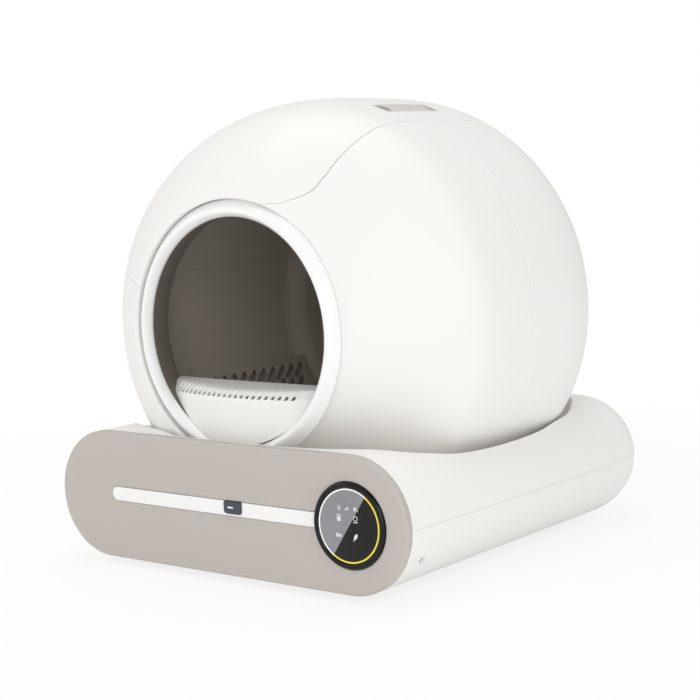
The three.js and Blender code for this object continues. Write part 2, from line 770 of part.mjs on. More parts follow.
// The hinge line lies just outside the skin on the lid's left edge.
const HINGE_REACH = GLOBE_RADIUS + HINGE_STANDOFF;
const HINGE_X = -HINGE_REACH * Math.sin(radians(LID_LEFT_ANGLE));
const HINGE_Z = GLOBE_AXIS_Z + HINGE_REACH * Math.cos(radians(LID_LEFT_ANGLE));
const HINGE_FRONT_Y = COVER_SPLIT_Y + HINGE_KNUCKLE_LENGTH;
const HINGE_BACK_Y = LID_REAR_Y - HINGE_REAR_ROOM;
const coverKnuckles = [
  [HINGE_FRONT_Y, HINGE_FRONT_Y + HINGE_KNUCKLE_LENGTH],
  [HINGE_BACK_Y - HINGE_KNUCKLE_LENGTH, HINGE_BACK_Y],
];
const lidKnuckle = [
  HINGE_FRONT_Y + HINGE_KNUCKLE_LENGTH + HINGE_END_GAP,
  HINGE_BACK_Y - HINGE_KNUCKLE_LENGTH - HINGE_END_GAP,
];

function hingeBarrel(radius, y0, y1) {
  return rod(radius, y0, y1, HINGE_X, HINGE_Z);
}

// A short web that ties a barrel to the skin beside it. side is +1 for the lid's skin.
function hingeLug(y0, y1, side) {
  const along = radians(LID_LEFT_ANGLE);
  const outward = [-Math.sin(along), Math.cos(along)];
  const towardsLid = [Math.cos(along), Math.sin(along)];
  const place = (out, side2) => [
    HINGE_X + outward[0] * out + towardsLid[0] * side2,
    HINGE_Z + outward[1] * out + towardsLid[1] * side2,
  ];
  const web = [
    place(0, 0),
    place(0, side * HINGE_BARREL_RADIUS * 0.9),
    place(-HINGE_STANDOFF - GLOBE_WALL / 2, side * HINGE_LUG_DEPTH),
    place(-HINGE_STANDOFF - GLOBE_WALL, side * (HINGE_BARREL_RADIUS / 2)),
  ];
  return prismY(web, y0, y1);
}

const pinBore = hingeBarrel(
  HINGE_PIN_RADIUS + HINGE_PIN_CLEARANCE,
  HINGE_FRONT_Y - OVERRUN,
  HINGE_BACK_Y + OVERRUN,
);
const globeShell = makeGlobeShell();

function splitHalf(y0, y1) {
  return block(-BASE_WIDTH, BASE_WIDTH, y0, y1, 0, BASE_WIDTH + BASE_HEIGHT);
}

function makeFrontCover() {
  const half = splitHalf(-OVERRUN, COVER_SPLIT_Y - PART_LINE_GAP / 2);
  const skin = cut(common(globeShell, half), lidWedge(LID_SEAM, LID_REAR_Y));
  const mouthProfile = [
    [MOUTH_BORE_RADIUS, 0],
    [MOUTH_BORE_RADIUS + MOUTH_WALL, 0],
    [MOUTH_BORE_RADIUS + MOUTH_WALL, RING_BACK_Y + SEAT_GAP + MOUTH_FLANGE_THICKNESS],
    [MOUTH_BORE_RADIUS - MOUTH_FLANGE, RING_BACK_Y + SEAT_GAP + MOUTH_FLANGE_THICKNESS],
    [MOUTH_BORE_RADIUS - MOUTH_FLANGE, RING_BACK_Y + SEAT_GAP],
    [MOUTH_BORE_RADIUS, RING_BACK_Y + SEAT_GAP],
  ];
  const mouth = common(turned(mouthProfile, WIDE_ROUND, 0, RING_AXIS_Z), globeOuter);
  return join(skin, mouth);
}

function makeRearCover() {
  const half = splitHalf(COVER_SPLIT_Y + PART_LINE_GAP / 2, BASE_DEPTH);
  const skin = cut(
    common(globeShell, half),
    lidWedge(LID_SEAM, LID_REAR_Y),
    hingeBarrel(HINGE_BARREL_RADIUS + HINGE_BARREL_CLEARANCE, ...lidKnuckle),
  );
  const knuckles = coverKnuckles.map(([y0, y1]) =>
    join(hingeBarrel(HINGE_BARREL_RADIUS, y0, y1), hingeLug(y0, y1, -1)),
  );
  return cut(join(skin, ...knuckles), pinBore);
}

// A frame that stands on the skin at the handle: x across, y along the object, z outwards.
function onHandle(body) {
  const reach = bluntRadius(GLOBE_MIDDLE, 0);
  const a = radians(HANDLE_ANGLE);
  return body
    .rotate([0, HANDLE_ANGLE, 0])
    .translate([reach * Math.sin(a), COVER_SPLIT_Y, GLOBE_AXIS_Z + reach * Math.cos(a)]);
}

function makeTopLid() {
  const ringRoom = rod(
    MOUTH_BORE_RADIUS + MOUTH_WALL + LID_SEAM,
    -OVERRUN,
    COVER_SPLIT_Y,
    0,
    RING_AXIS_Z,
    WIDE_ROUND,
  );
  const rooms = coverKnuckles.map(([y0, y1]) =>
    hingeBarrel(HINGE_BARREL_RADIUS + HINGE_BARREL_CLEARANCE, y0 - HINGE_END_GAP, y1 + HINGE_END_GAP),
  );
  const skin = cut(common(globeShell, lidWedge(0, LID_REAR_Y)), ringRoom, ...rooms);
  const knuckle = join(
    hingeBarrel(HINGE_BARREL_RADIUS, ...lidKnuckle),
    hingeLug(...lidKnuckle, 1),
  );
  const handleHole = onHandle(
    prismZ(
      roundedBox(
        -HANDLE_WIDTH / 2,
        HANDLE_WIDTH / 2,
        -HANDLE_LENGTH / 2,
        HANDLE_LENGTH / 2,
        HANDLE_WALL * 2,
      ),
      -HANDLE_DEPTH,
      OVERRUN,
    ),
  );
  return cut(join(skin, knuckle), pinBore, handleHole);
}

function makeLidHandle() {
  const halfWidth = HANDLE_WIDTH / 2 - SEAT_GAP;
  const halfLength = HANDLE_LENGTH / 2 - SEAT_GAP;
  const outline = roundedBox(-halfWidth, halfWidth, -halfLength, halfLength, HANDLE_WALL * 2);
  const tub = common(onHandle(prismZ(outline, -HANDLE_DEPTH, OVERRUN)), globeOuter);
  const lip = roundedBox(
    -halfWidth - HANDLE_FLANGE,
    halfWidth + HANDLE_FLANGE,
    -halfLength - HANDLE_FLANGE,
    halfLength + HANDLE_FLANGE,
    HANDLE_WALL * 2,
  );
  const under = GLOBE_WALL + SEAT_GAP;
  const lipPlate = cut(
    common(onHandle(prismZ(lip, -HANDLE_DEPTH, 0)), lining(under)),
    lining(under + HANDLE_WALL),
  );
  const hollow = onHandle(
    block(
      -halfWidth + HANDLE_WALL,
      halfWidth - HANDLE_WALL,
      -halfLength + HANDLE_WALL,
      halfLength - HANDLE_WALL,
      -HANDLE_DEPTH + HANDLE_WALL,
      -HANDLE_PLATE - HANDLE_WALL,
    ),
  );
  const slots = [-1, 1].map((side) => {
    const outer = side * (halfLength - HANDLE_WALL);
    const inner = side * (halfLength - HANDLE_WALL - HANDLE_SLOT);
    const corners = roundedBox(
      -halfWidth + HANDLE_WALL,
      halfWidth - HANDLE_WALL,
      Math.min(outer, inner),
      Math.max(outer, inner),
      HANDLE_SLOT / 2.2,
    );
    return onHandle(prismZ(corners, -HANDLE_DEPTH + HANDLE_WALL, OVERRUN));
  });
  return cut(join(tub, lipPlate), hollow, ...slots);
}

function makeHingePin() {
  return hingeBarrel(HINGE_PIN_RADIUS, HINGE_FRONT_Y, HINGE_BACK_Y);
}

// Entry ring: a half round bead with a lip that covers the globe's mouth and a spigot inside it.
function makeEntryRing() {
  const mouth = [RING_MOUTH_RADIUS, RING_MOUTH_Y];
  const peak = [RING_MOUTH_RADIUS + RING_PEAK_STEP, RING_PEAK_Y];
  const lip = [RING_LIP_RADIUS, RING_LIP_Y];
  const bead = Array.from({ length: 9 }, (_, i) => {
    const t = i / 8;
    const pull = 2 * RING_FULLNESS * t * (1 - t);
    const total = (1 - t) ** 2 + pull + t ** 2;
    return [0, 1].map((k) => ((1 - t) ** 2 * mouth[k] + pull * peak[k] + t ** 2 * lip[k]) / total);
  });
  const neckAt = (y) => neckRadius(y) + NECK_WALL + SEAT_GAP;
  const spigotEnd = RING_BACK_Y + RING_SPIGOT_LENGTH;
  const profile = [
    ...bead,
    [RING_LIP_RADIUS, RING_BACK_Y],
    [SPIGOT_RADIUS, RING_BACK_Y],
    [SPIGOT_RADIUS, spigotEnd],
    [neckAt(spigotEnd), spigotEnd],
    [neckAt(NECK_FRONT_Y - SEAT_GAP), NECK_FRONT_Y - SEAT_GAP],
    [RING_MOUTH_RADIUS, NECK_FRONT_Y - SEAT_GAP],
  ];
  return turned(profile, WIDE_ROUND, 0, RING_AXIS_Z);
}

function neckRadius(y) {
  return RING_MOUTH_RADIUS + (NECK_FLARE * (y - NECK_FRONT_Y)) / NECK_LENGTH;
}

function makeNeckCollar() {
  const profile = [
    [neckRadius(NECK_FRONT_Y), NECK_FRONT_Y],
    [neckRadius(NECK_FRONT_Y) + NECK_WALL, NECK_FRONT_Y],
    [neckRadius(NECK_BACK_Y) + NECK_WALL, NECK_BACK_Y],
    [neckRadius(NECK_BACK_Y), NECK_BACK_Y],
  ];
  return turned(profile, WIDE_ROUND, 0, RING_AXIS_Z);
}

// Litter guard: a bowed sill across the low part of the mouth, with a comb along its top edge and a
// flange that climbs inwards.
function makeLitterGuard() {
  const halfChord = Math.sqrt(RING_MOUTH_RADIUS ** 2 - GUARD_TOP_DROP ** 2);
  const bowRadius = (halfChord ** 2 + GUARD_BOW ** 2) / (2 * GUARD_BOW);
  const low = RING_AXIS_Z - RING_MOUTH_RADIUS - OVERRUN;
  const high = RING_AXIS_Z;
  const wide = halfChord * 1.3;
  const frontTop = RING_AXIS_Z - GUARD_TOP_DROP;
  const sill = frontTop - GUARD_BEVEL;
  // The front skin is part of an upright drum whose top edge is bevelled.
  const bow = (sink) => {
    const r = bowRadius - sink;
    const edge = sill - sink / 2;
    const reach = GUARD_REAR_Y - GUARD_FRONT_Y;
    return turned(
      [
        [0, low - sink],
        [r, low - sink],
        [r, edge],
        [r - reach, edge + reach],
        [0, edge + reach],
      ],
      BOW_ROUND,
      0,
      0,
    )
      .rotate([90, 0, 0])
      .translate([0, GUARD_FRONT_Y + bowRadius, 0]);
  };
  const room = turned(
    [
      [0, 0],
      [RING_MOUTH_RADIUS - SEAT_GAP, 0],
      [neckRadius(NECK_FRONT_Y) - SEAT_GAP, NECK_FRONT_Y],
      [neckRadius(NECK_BACK_Y) - SEAT_GAP, NECK_BACK_Y],
      [neckRadius(NECK_BACK_Y) - SEAT_GAP, GUARD_REAR_Y],
      [0, GUARD_REAR_Y],
    ],
    WIDE_ROUND,
    0,
    RING_AXIS_Z,
  );
  const rearTop = frontTop + GUARD_RISE;
  const topProfile = (sink) => [
    [0, low - OVERRUN - sink],
    [GUARD_REAR_Y + sink, low - OVERRUN - sink],
    [GUARD_REAR_Y + sink, rearTop - sink],
    [GUARD_FRONT_Y, frontTop - sink],
    [0, frontTop - sink],
  ];
  const outer = common(bow(0), prismX(topProfile(0), -wide, wide), room);
  const inner = common(bow(GUARD_WALL), prismX(topProfile(GUARD_WALL), -wide, wide));
  const slots = Array.from({ length: COMB_COUNT }, (_, i) => {
    const x = -COMB_START + i * COMB_PITCH;
    const sag = bowRadius - Math.sqrt(bowRadius ** 2 - x ** 2);
    const y = GUARD_FRONT_Y + sag;
    return block(
      x - COMB_SLOT / 2,
      x + COMB_SLOT / 2,
      y - GUARD_WALL,
      y + COMB_DEPTH,
      sill + COMB_SILL,
      high,
    );
  });
  return cut(outer, inner, ...slots);
}

// Drum: a bowl on its side, in two shells that part above its axis, with a waste port on top.
function drumProfile(sink) {
  const at = (r, y) => [r - sink, y];
  return [
    at(DRUM_MOUTH_RADIUS + DRUM_WALL, DRUM_MOUTH_Y),
    ...Array.from({ length: 4 }, (_, i) => {
      const turn = (Math.PI / 2) * ((i + 1) / 4);
      const r = DRUM_MOUTH_RADIUS + (DRUM_RADIUS - DRUM_MOUTH_RADIUS) * Math.sin(turn);
      return at(r, DRUM_SHOULDER_Y - DRUM_SHOULDER_LENGTH * Math.cos(turn) + DRUM_WALL);
    }),
    at(DRUM_RADIUS, DRUM_BARREL_END),
    at(GEAR_SEAT_RADIUS, GEAR_SEAT_Y),
    at(GEAR_SEAT_RADIUS, GEAR_SEAT_END_Y),
    ...Array.from({ length: 4 }, (_, i) => {
      const turn = (Math.PI / 2) * ((i + 1) / 5);
      const y = GEAR_SEAT_END_Y + (DRUM_DOME_DEPTH - sink) * Math.sin(turn);
      return at(GEAR_SEAT_RADIUS * Math.cos(turn), y);
    }),
    [0, DRUM_BACK_Y - sink],
  ];
}

function makeDrumShell() {
  const outer = turned([...drumProfile(0), [0, DRUM_MOUTH_Y]], WIDE_ROUND, 0, RING_AXIS_Z);
  const lining = drumProfile(DRUM_WALL);
  const start = [lining[0][0], DRUM_MOUTH_Y - OVERRUN];
  const inner = turned([start, ...lining, [0, DRUM_MOUTH_Y - OVERRUN]], WIDE_ROUND, 0, RING_AXIS_Z);
  return cut(outer, inner);
}

const drumShell = makeDrumShell();
const drumPartZ = RING_AXIS_Z + DRUM_PART_RISE;

function makeDrumLowerShell() {
  const below = block(
    -BASE_WIDTH,
    BASE_WIDTH,
    0,
    BASE_DEPTH,
    -BASE_HEIGHT,
    drumPartZ - SEAT_GAP / 2,
  );
  return common(drumShell, below);
}

function makeDrumUpperShell() {
  const above = block(
    -BASE_WIDTH,
    BASE_WIDTH,
    0,
    BASE_DEPTH,
    drumPartZ + SEAT_GAP / 2,
    BASE_WIDTH + BASE_HEIGHT,
  );
  const port = prismZ(
    roundedBox(
      -WASTE_PORT_WIDTH / 2,
      WASTE_PORT_WIDTH / 2,
      WASTE_PORT_FRONT,
      WASTE_PORT_FRONT + WASTE_PORT_LENGTH,
      DRAWER_CORNER,
    ),
    drumPartZ,
    BASE_WIDTH + BASE_HEIGHT,
  );
  return cut(common(drumShell, above), port);
}

// Sieve: a grate that hugs the drum's left side, with staggered rows of leaning slots.
function makeSieve() {
  const from = -90 - SIEVE_TOP_ANGLE;
  const to = -90 - SIEVE_LOW_ANGLE;
  const outline = [
    ...arc(0, RING_AXIS_Z, SIEVE_RADIUS, from, to, 8),
    ...arc(0, RING_AXIS_Z, SIEVE_RADIUS - SIEVE_WALL, to, from, 8),
  ];
  const wall = (DRUM_RADIUS - DRUM_WALL) * Math.cos(Math.PI / WIDE_ROUND) - SEAT_GAP;
  const frame = (a0, a1) => [
    ...arc(0, RING_AXIS_Z, wall, a0, a1, 2),
    ...arc(0, RING_AXIS_Z, SIEVE_RADIUS - SIEVE_WALL, a1, a0, 2),
  ];
  const rimAngle = THREE.MathUtils.radToDeg(SIEVE_WALL / SIEVE_RADIUS);
  const plate = prismY(outline, SIEVE_FRONT, SIEVE_REAR);
  const topFlange = prismY(frame(from, from + rimAngle), SIEVE_FRONT, SIEVE_REAR);
  const lowFlange = prismY(frame(to - rimAngle, to), SIEVE_FRONT, SIEVE_REAR);
  const rowAngle = THREE.MathUtils.radToDeg((SIEVE_SLOT_LENGTH + SIEVE_RIM) / SIEVE_RADIUS);
  const slots = [];
  for (let row = 0; row < SIEVE_ROWS; row += 1) {
    const angle = SIEVE_TOP_ANGLE - rowAngle * (row + 0.62);
    const shift = row % 2 ? SIEVE_SLOT_PITCH / 2 : 0;
    const first = SIEVE_FRONT + SIEVE_SLOT_PITCH + shift;
    for (let y = first; y < SIEVE_REAR - SIEVE_SLOT_PITCH / 1.5; y += SIEVE_SLOT_PITCH) {
      slots.push(sieveSlot(angle, y));
    }
  }
  return cut(join(plate, topFlange, lowFlange), ...slots);
}

// One obround slot through the grate, angle degrees left of straight down.
function sieveSlot(angle, y) {
  const half = (SIEVE_SLOT_LENGTH - SIEVE_SLOT_WIDTH) / 2;
  const outline = [
    ...arc(0, half, SIEVE_SLOT_WIDTH / 2, 0, 180, 2),
    ...arc(0, -half, SIEVE_SLOT_WIDTH / 2, 180, 360, 2),
  ];
  const reach = SIEVE_WALL * 2;
  const slot = prismZ(outline, -reach, reach)
    .rotate([0, 0, SIEVE_SLOT_LEAN])
    .rotate([0, 0, 90])
    .translate([0, 0, -SIEVE_RADIUS + SIEVE_WALL / 2]);
  return slot.rotate([0, angle, 0]).translate([0, y, RING_AXIS_Z]);
}

// Involute gear outline about (0, 0), with a tooth centred on the angle phase, in degrees.
// flankSteps is the number of straight steps along each flank.
function gearOutline(teeth, phase, flankSteps) {
  const pitch = (GEAR_MODULE * teeth) / 2;
  const base = pitch * Math.cos(radians(GEAR_PRESSURE_ANGLE));
  const tip = pitch + GEAR_MODULE * GEAR_ADDENDUM_SHARE;
  const root = pitch - GEAR_MODULE * GEAR_DEDENDUM_SHARE;
  const roll = (r) => {
    const t = Math.sqrt(Math.max(0, (r / base) ** 2 - 1));
    return t - Math.atan(t);
  };
  const halfTooth = Math.PI / (2 * teeth) - GEAR_BACKLASH / (4 * pitch) + roll(pitch);
  const low = Math.max(root, base);
  const radii = Array.from({ length: flankSteps + 1 }, (_, i) => low + ((tip - low) * i) / flankSteps);
  const outline = [];
  for (let i = 0; i < teeth; i += 1) {
    const centre = radians(phase) + (2 * Math.PI * i) / teeth;
    const point = (r, side) => {
      const a = centre + side * (halfTooth - roll(r));
      return [r * Math.cos(a), r * Math.sin(a)];
    };
    if (root < low) {
      outline.push([root * Math.cos(centre - halfTooth), root * Math.sin(centre - halfTooth)]);
    }
    radii.forEach((r) => outline.push(point(r, -1)));
    [...radii].reverse().forEach((r) => outline.push(point(r, 1)));
    if (root < low) {
      outline.push([root * Math.cos(centre + halfTooth), root * Math.sin(centre + halfTooth)]);
    }
  }
  return outline;
}

function gear(teeth, phase, flankSteps, y0, y1, x, z) {
  const outline = gearOutline(teeth, phase, flankSteps).map(([gx, gz]) => [gx + x, gz + z]);
  return prismY(outline, y0, y1);
}

function makeRingGear() {
  const y1 = GEAR_FRONT_Y + RING_GEAR_WIDTH;
  const wheel = gear(RING_GEAR_TEETH, PINION_ANGLE - 90, 1, GEAR_FRONT_Y, y1, 0, RING_AXIS_Z);
  const bore = rod(
    GEAR_SEAT_RADIUS + SEAT_GAP,
    GEAR_FRONT_Y - OVERRUN,
    y1 + OVERRUN,
    0,
    RING_AXIS_Z,
    WIDE_ROUND,
  );
  return cut(wheel, bore);
}

function makePinion() {
  const phase = PINION_ANGLE + 90 + 180 / PINION_TEETH;
  const y0 = GEAR_FRONT_Y - PINION_OVERHANG;
  const y1 = GEAR_FRONT_Y + RING_GEAR_WIDTH + PINION_OVERHANG;
  const wheel = gear(PINION_TEETH, phase, 3, y0, y1, PINION_X, PINION_Z);
  return cut(wheel, rod(SHAFT_RADIUS + SHAFT_CLEARANCE, y0 - OVERRUN, y1 + OVERRUN, PINION_X, PINION_Z));
}

function makePinionShaft() {
  return rod(
    SHAFT_RADIUS,
    GEAR_FRONT_Y - PINION_OVERHANG,
    GEARBOX_FRONT_Y + SHAFT_INSERTION,
    PINION_X,
    PINION_Z,
  );
}

function makeGearMotor() {
  const left = PINION_X - GEARBOX_WIDTH / 2;
  const right = PINION_X + GEARBOX_WIDTH / 2;
  const middle = PINION_Z - GEARBOX_DROP;
  const boxBack = GEARBOX_FRONT_Y + GEARBOX_DEPTH;
  const corners = roundedBox(
    left,
    right,
    middle - GEARBOX_HEIGHT / 2,
    middle + GEARBOX_HEIGHT / 2,
    MOTOR_EAR_THICKNESS,
    2,
  );
  const box = prismY(corners, GEARBOX_FRONT_Y, boxBack);
  const can = rod(MOTOR_RADIUS, boxBack - EAR_THICKNESS, boxBack + MOTOR_LENGTH, PINION_X, middle);
  const earTop = DECK_TOP - DECK_THICKNESS - SEAT_GAP;
  const ear = block(
    right - EAR_THICKNESS,
    right + MOTOR_EAR_LENGTH,
    GEARBOX_FRONT_Y,
    boxBack,
    earTop - MOTOR_EAR_THICKNESS,
    earTop,
  );
  const bore = rod(
    SHAFT_RADIUS + SHAFT_CLEARANCE,
    GEARBOX_FRONT_Y - OVERRUN,
    GEARBOX_FRONT_Y + SHAFT_INSERTION + SEAT_GAP,
    PINION_X,
    PINION_Z,
  );
  return cut(join(box, can, ear), bore);
}

// Rollers: two on each side, on one axle held by the ears of a cradle under the deck.
function makeRoller(side, y) {
  const half = ROLLER_WIDTH / 2;
  const flat = half * 0.8;
  const bore = AXLE_RADIUS + AXLE_CLEARANCE;
  const profile = [
    [bore, y - half],
    [ROLLER_RADIUS * 0.9, y - half],
    [ROLLER_RADIUS, y - flat],
    [ROLLER_RADIUS, y + flat],
    [ROLLER_RADIUS * 0.9, y + half],
    [bore, y + half],
  ];
  return turned(profile, ROUND, side * ROLLER_X, ROLLER_Z);
}

const EAR_OFFSET = ROLLER_WIDTH / 2 + EAR_GAP;
const AXLE_FRONT_Y = ROLLER_FRONT_Y - EAR_OFFSET - EAR_THICKNESS;
const AXLE_BACK_Y = ROLLER_REAR_Y + EAR_OFFSET + EAR_THICKNESS;

function makeAxle(side) {
  return rod(AXLE_RADIUS, AXLE_FRONT_Y, AXLE_BACK_Y, side * ROLLER_X, ROLLER_Z);
}

function makeCradle(side) {
  const low = ROLLER_Z - CRADLE_DROP;
  const deckUnder = DECK_TOP - DECK_THICKNESS - SEAT_GAP;
  const inner = ROLLER_X - EAR_RADIUS;
  const outer = ROLLER_X + ROLLER_RADIUS + EAR_THICKNESS + MOTOR_EAR_LENGTH / 2;
  const across = (x0, x1, y0, y1, z0, z1) =>
    block(Math.min(side * x0, side * x1), Math.max(side * x0, side * x1), y0, y1, z0, z1);
  const plate = across(inner, outer, AXLE_FRONT_Y, AXLE_BACK_Y, low, low + CRADLE_THICKNESS);
  const web = across(
    outer - CRADLE_THICKNESS,
    outer,
    AXLE_FRONT_Y,
    AXLE_BACK_Y,
    low,
    deckUnder,
  );
  const earOutline = [
    [side * ROLLER_X - EAR_RADIUS, low],
    [side * ROLLER_X + EAR_RADIUS, low],
    ...arc(side * ROLLER_X, ROLLER_Z, EAR_RADIUS, 0, 180, 6),
  ];
  const ears = [ROLLER_FRONT_Y, ROLLER_REAR_Y].flatMap((y) =>
    [y - EAR_OFFSET - EAR_THICKNESS, y + EAR_OFFSET].map((start) =>
      prismY(earOutline, start, start + EAR_THICKNESS),
    ),
  );
  const bore = rod(
    AXLE_RADIUS + AXLE_CLEARANCE,
    AXLE_FRONT_Y - OVERRUN,
    AXLE_BACK_Y + OVERRUN,
    side * ROLLER_X,
    ROLLER_Z,
  );
  return cut(join(plate, web, ...ears), bore);
}

// Waste drawer: a tub with a ledge on each side that slides in a runner.
function makeDrawer() {
  const half = DRAWER_WIDTH / 2;
  const back = DRAWER_FRONT + DRAWER_LENGTH;
  const ring = (sink, z, grow) =>
    roundedBox(
      -half + sink - grow,
      half - sink + grow,
      DRAWER_FRONT + sink - grow,
      back - sink + grow,
      DRAWER_CORNER - sink + grow,
      3,
    ).map(([x, y]) => new THREE.Vector3(x, y, z));
  const outer = loft([ring(0, DRAWER_BOTTOM, -DRAWER_DRAFT), ring(0, DRAWER_TOP, 0)]);
  const inner = loft([
    ring(DRAWER_WALL, DRAWER_BOTTOM + DRAWER_WALL, -DRAWER_DRAFT),
    ring(DRAWER_WALL, DRAWER_TOP + DRAWER_WALL, 0),
  ]);
  const ledgeLow = DRAWER_BOTTOM + LEDGE_RISE;
  const ledges = [-1, 1].map((side) =>
    block(
      Math.min(side * (half - DRAWER_DRAFT), side * (half + LEDGE_WIDTH)),
      Math.max(side * (half - DRAWER_DRAFT), side * (half + LEDGE_WIDTH)),
      DRAWER_FRONT + DRAWER_CORNER,
      back - DRAWER_CORNER,
      ledgeLow,
      ledgeLow + LEDGE_HEIGHT,
    ),
  );
  const postZ = (DRAWER_BOTTOM + DRAWER_TOP) / 2;
  const posts = [-1, 1].map((side) =>
    rod(
      PANEL_POST_RADIUS,
      PANEL_THICKNESS + SEAT_GAP,
      DRAWER_FRONT + DRAWER_DRAFT * 1.2,
      side * (half - DRAWER_CORNER * 3),
      postZ,
    ),
  );
  return cut(join(outer, ...ledges, ...posts), inner);
}

function makeRunner(side) {
  const inner = DRAWER_WIDTH / 2 + RUNNER_CLEARANCE;
  const outer = DRAWER_WIDTH / 2 + LEDGE_WIDTH + RUNNER_CLEARANCE + RUNNER_WALL;
  const ledgeLow = DRAWER_BOTTOM + LEDGE_RISE;
  const grooveLow = ledgeLow - SEAT_GAP;
  const grooveHigh = ledgeLow + LEDGE_HEIGHT + RUNNER_CLEARANCE;
  const front = DRAWER_FRONT + DRAWER_CORNER;
  const back = DRAWER_FRONT + DRAWER_LENGTH;
  const outline = [
    [inner, SHELL_WALL],
    [outer, SHELL_WALL],
    [outer, grooveHigh + RUNNER_WALL],
    [inner, grooveHigh + RUNNER_WALL],
    [inner, grooveHigh],
    [outer - RUNNER_WALL, grooveHigh],
    [outer - RUNNER_WALL, grooveLow],
    [inner, grooveLow],
  ].map(([x, z]) => [side * x, z]);
  return common(prismY(outline, front, back), baseInner);
}

// Front panel: a stadium plate dished towards the strip, with the display at its right end.
function stadium(inset, y) {
  const radius = BASE_RADIUS - inset;
  return [
    ...arc(CORE_HALF_WIDTH, PANEL_MIDDLE, radius, -90, 90, 12),
    ...arc(-CORE_HALF_WIDTH, PANEL_MIDDLE, radius, 90, 270, 12),
  ].map(([x, z]) => new THREE.Vector3(x, y, z));
}

const dishShares = [
  [0.13, 0.16],
  [0.35, 0.5],
  [0.62, 0.86],
  [0.84, 1],
];

function makeFrontPanel() {
  const body = loft([
    stadium(0, PANEL_THICKNESS),
    stadium(0, PANEL_EDGE_RADIUS),
    stadium(PANEL_EDGE_RADIUS * 0.3, PANEL_EDGE_RADIUS * 0.3),
    stadium(PANEL_EDGE_RADIUS, 0),
    ...dishShares.map(([inset, deep]) => stadium(BASE_RADIUS * inset, PANEL_DISH * deep)),
  ]);
  const displayHole = rod(
    DISPLAY_RADIUS + SEAT_GAP,
    -OVERRUN,
    OVERRUN,
    DISPLAY_X,
    PANEL_MIDDLE,
    WIDE_ROUND,
  );
  const groove = prismY(stripOutline(SEAT_GAP), -OVERRUN, PANEL_DISH + STRIP_THICKNESS - STRIP_PROUD + SEAT_GAP);
  const buttonHole = prismY(buttonOutline(BUTTON_GAP), -OVERRUN, OVERRUN);
  return cut(body, displayHole, groove, buttonHole);
}

function stripOutline(grow) {
  const middle = PANEL_MIDDLE + (STRIP_TOP - STRIP_BOTTOM) / 2;
  const half = (STRIP_TOP + STRIP_BOTTOM) / 2 + grow;
  const right = DISPLAY_X - DISPLAY_RADIUS / 1.5;
  return [...arc(-STRIP_LEFT + half, middle, half, 90, 270, 8), [right, middle - half], [right, middle + half]];
}

function makeAccentStrip() {
  const front = PANEL_DISH - STRIP_PROUD;
  const bar = prismY(stripOutline(0), front, front + STRIP_THICKNESS);
  const displayRoom = rod(
    DISPLAY_RADIUS + SEAT_GAP,
    -OVERRUN,
    OVERRUN,
    DISPLAY_X,
    PANEL_MIDDLE,
    WIDE_ROUND,
  );
  const buttonRoom = prismY(buttonOutline(BUTTON_GAP), -OVERRUN, OVERRUN);
  return cut(bar, displayRoom, buttonRoom);
}

function buttonOutline(grow) {
  const top = PANEL_MIDDLE + STRIP_TOP - BUTTON_GAP * 3;
  return roundedBox(
    BUTTON_LEFT - grow,
    BUTTON_LEFT + BUTTON_WIDTH + grow,
    top - BUTTON_HEIGHT - grow,
    top + grow,
    BUTTON_CORNER + grow,
  );
}

const BUTTON_MIDDLE_X = BUTTON_LEFT + BUTTON_WIDTH / 2;
const BUTTON_MIDDLE_Z = PANEL_MIDDLE + STRIP_TOP - BUTTON_GAP * 3 - BUTTON_HEIGHT / 2;
const BUTTON_BACK_Y = PANEL_THICKNESS + BUTTON_SKIRT;

function makePowerButton() {
  return prismY(buttonOutline(0), PANEL_DISH - BUTTON_PROUD, BUTTON_BACK_Y);
}

const SWITCH_FRONT_Y = BUTTON_BACK_Y + BUTTON_TRAVEL + SEAT_GAP * 2;

function makeSwitchPlunger() {
  const start = BUTTON_BACK_Y + SEAT_GAP;
  return rod(PLUNGER_RADIUS, start, start + PLUNGER_LENGTH, BUTTON_MIDDLE_X, BUTTON_MIDDLE_Z);
}

function makeButtonSwitch() {
  const half = SWITCH_SIZE / 2;
  const body = block(
    BUTTON_MIDDLE_X - half,
    BUTTON_MIDDLE_X + half,
    SWITCH_FRONT_Y,
    DRAWER_FRONT - SEAT_GAP,
    BUTTON_MIDDLE_Z - half * 2.4,
    BUTTON_MIDDLE_Z + half,
  );
  const bore = rod(
    PLUNGER_RADIUS + SHAFT_CLEARANCE,
    SWITCH_FRONT_Y - OVERRUN,
    BUTTON_BACK_Y + SEAT_GAP * 2 + PLUNGER_LENGTH + BUTTON_TRAVEL,
    BUTTON_MIDDLE_X,
    BUTTON_MIDDLE_Z,
  );
  return cut(body, bore);
}

// Display: a bezel in the panel's round hole, a light ring inside it and a lens over the middle.
const BEZEL_FRONT_Y = -DISPLAY_PROUD;
const BEZEL_INNER = DISPLAY_RADIUS - BEZEL_WIDTH;
const LIGHT_OUTER = BEZEL_INNER - SEAT_GAP;
const LIGHT_INNER = LIGHT_OUTER - LIGHT_RING_WIDTH;

function makeDisplayBezel() {
  const back = PANEL_THICKNESS;
  const floorFront = back - LENS_THICKNESS;
  const profile = [
    [0, floorFront],
    [BEZEL_INNER, floorFront],
    [BEZEL_INNER, BEZEL_FRONT_Y + LENS_SINK],
    [BEZEL_INNER + LENS_SINK, BEZEL_FRONT_Y],
    [DISPLAY_RADIUS - LENS_SINK, BEZEL_FRONT_Y],
    [DISPLAY_RADIUS, BEZEL_FRONT_Y + LENS_SINK],
    [DISPLAY_RADIUS, back],
    [0, back],
  ];
  return turned(profile, WIDE_ROUND, DISPLAY_X, PANEL_MIDDLE);
}

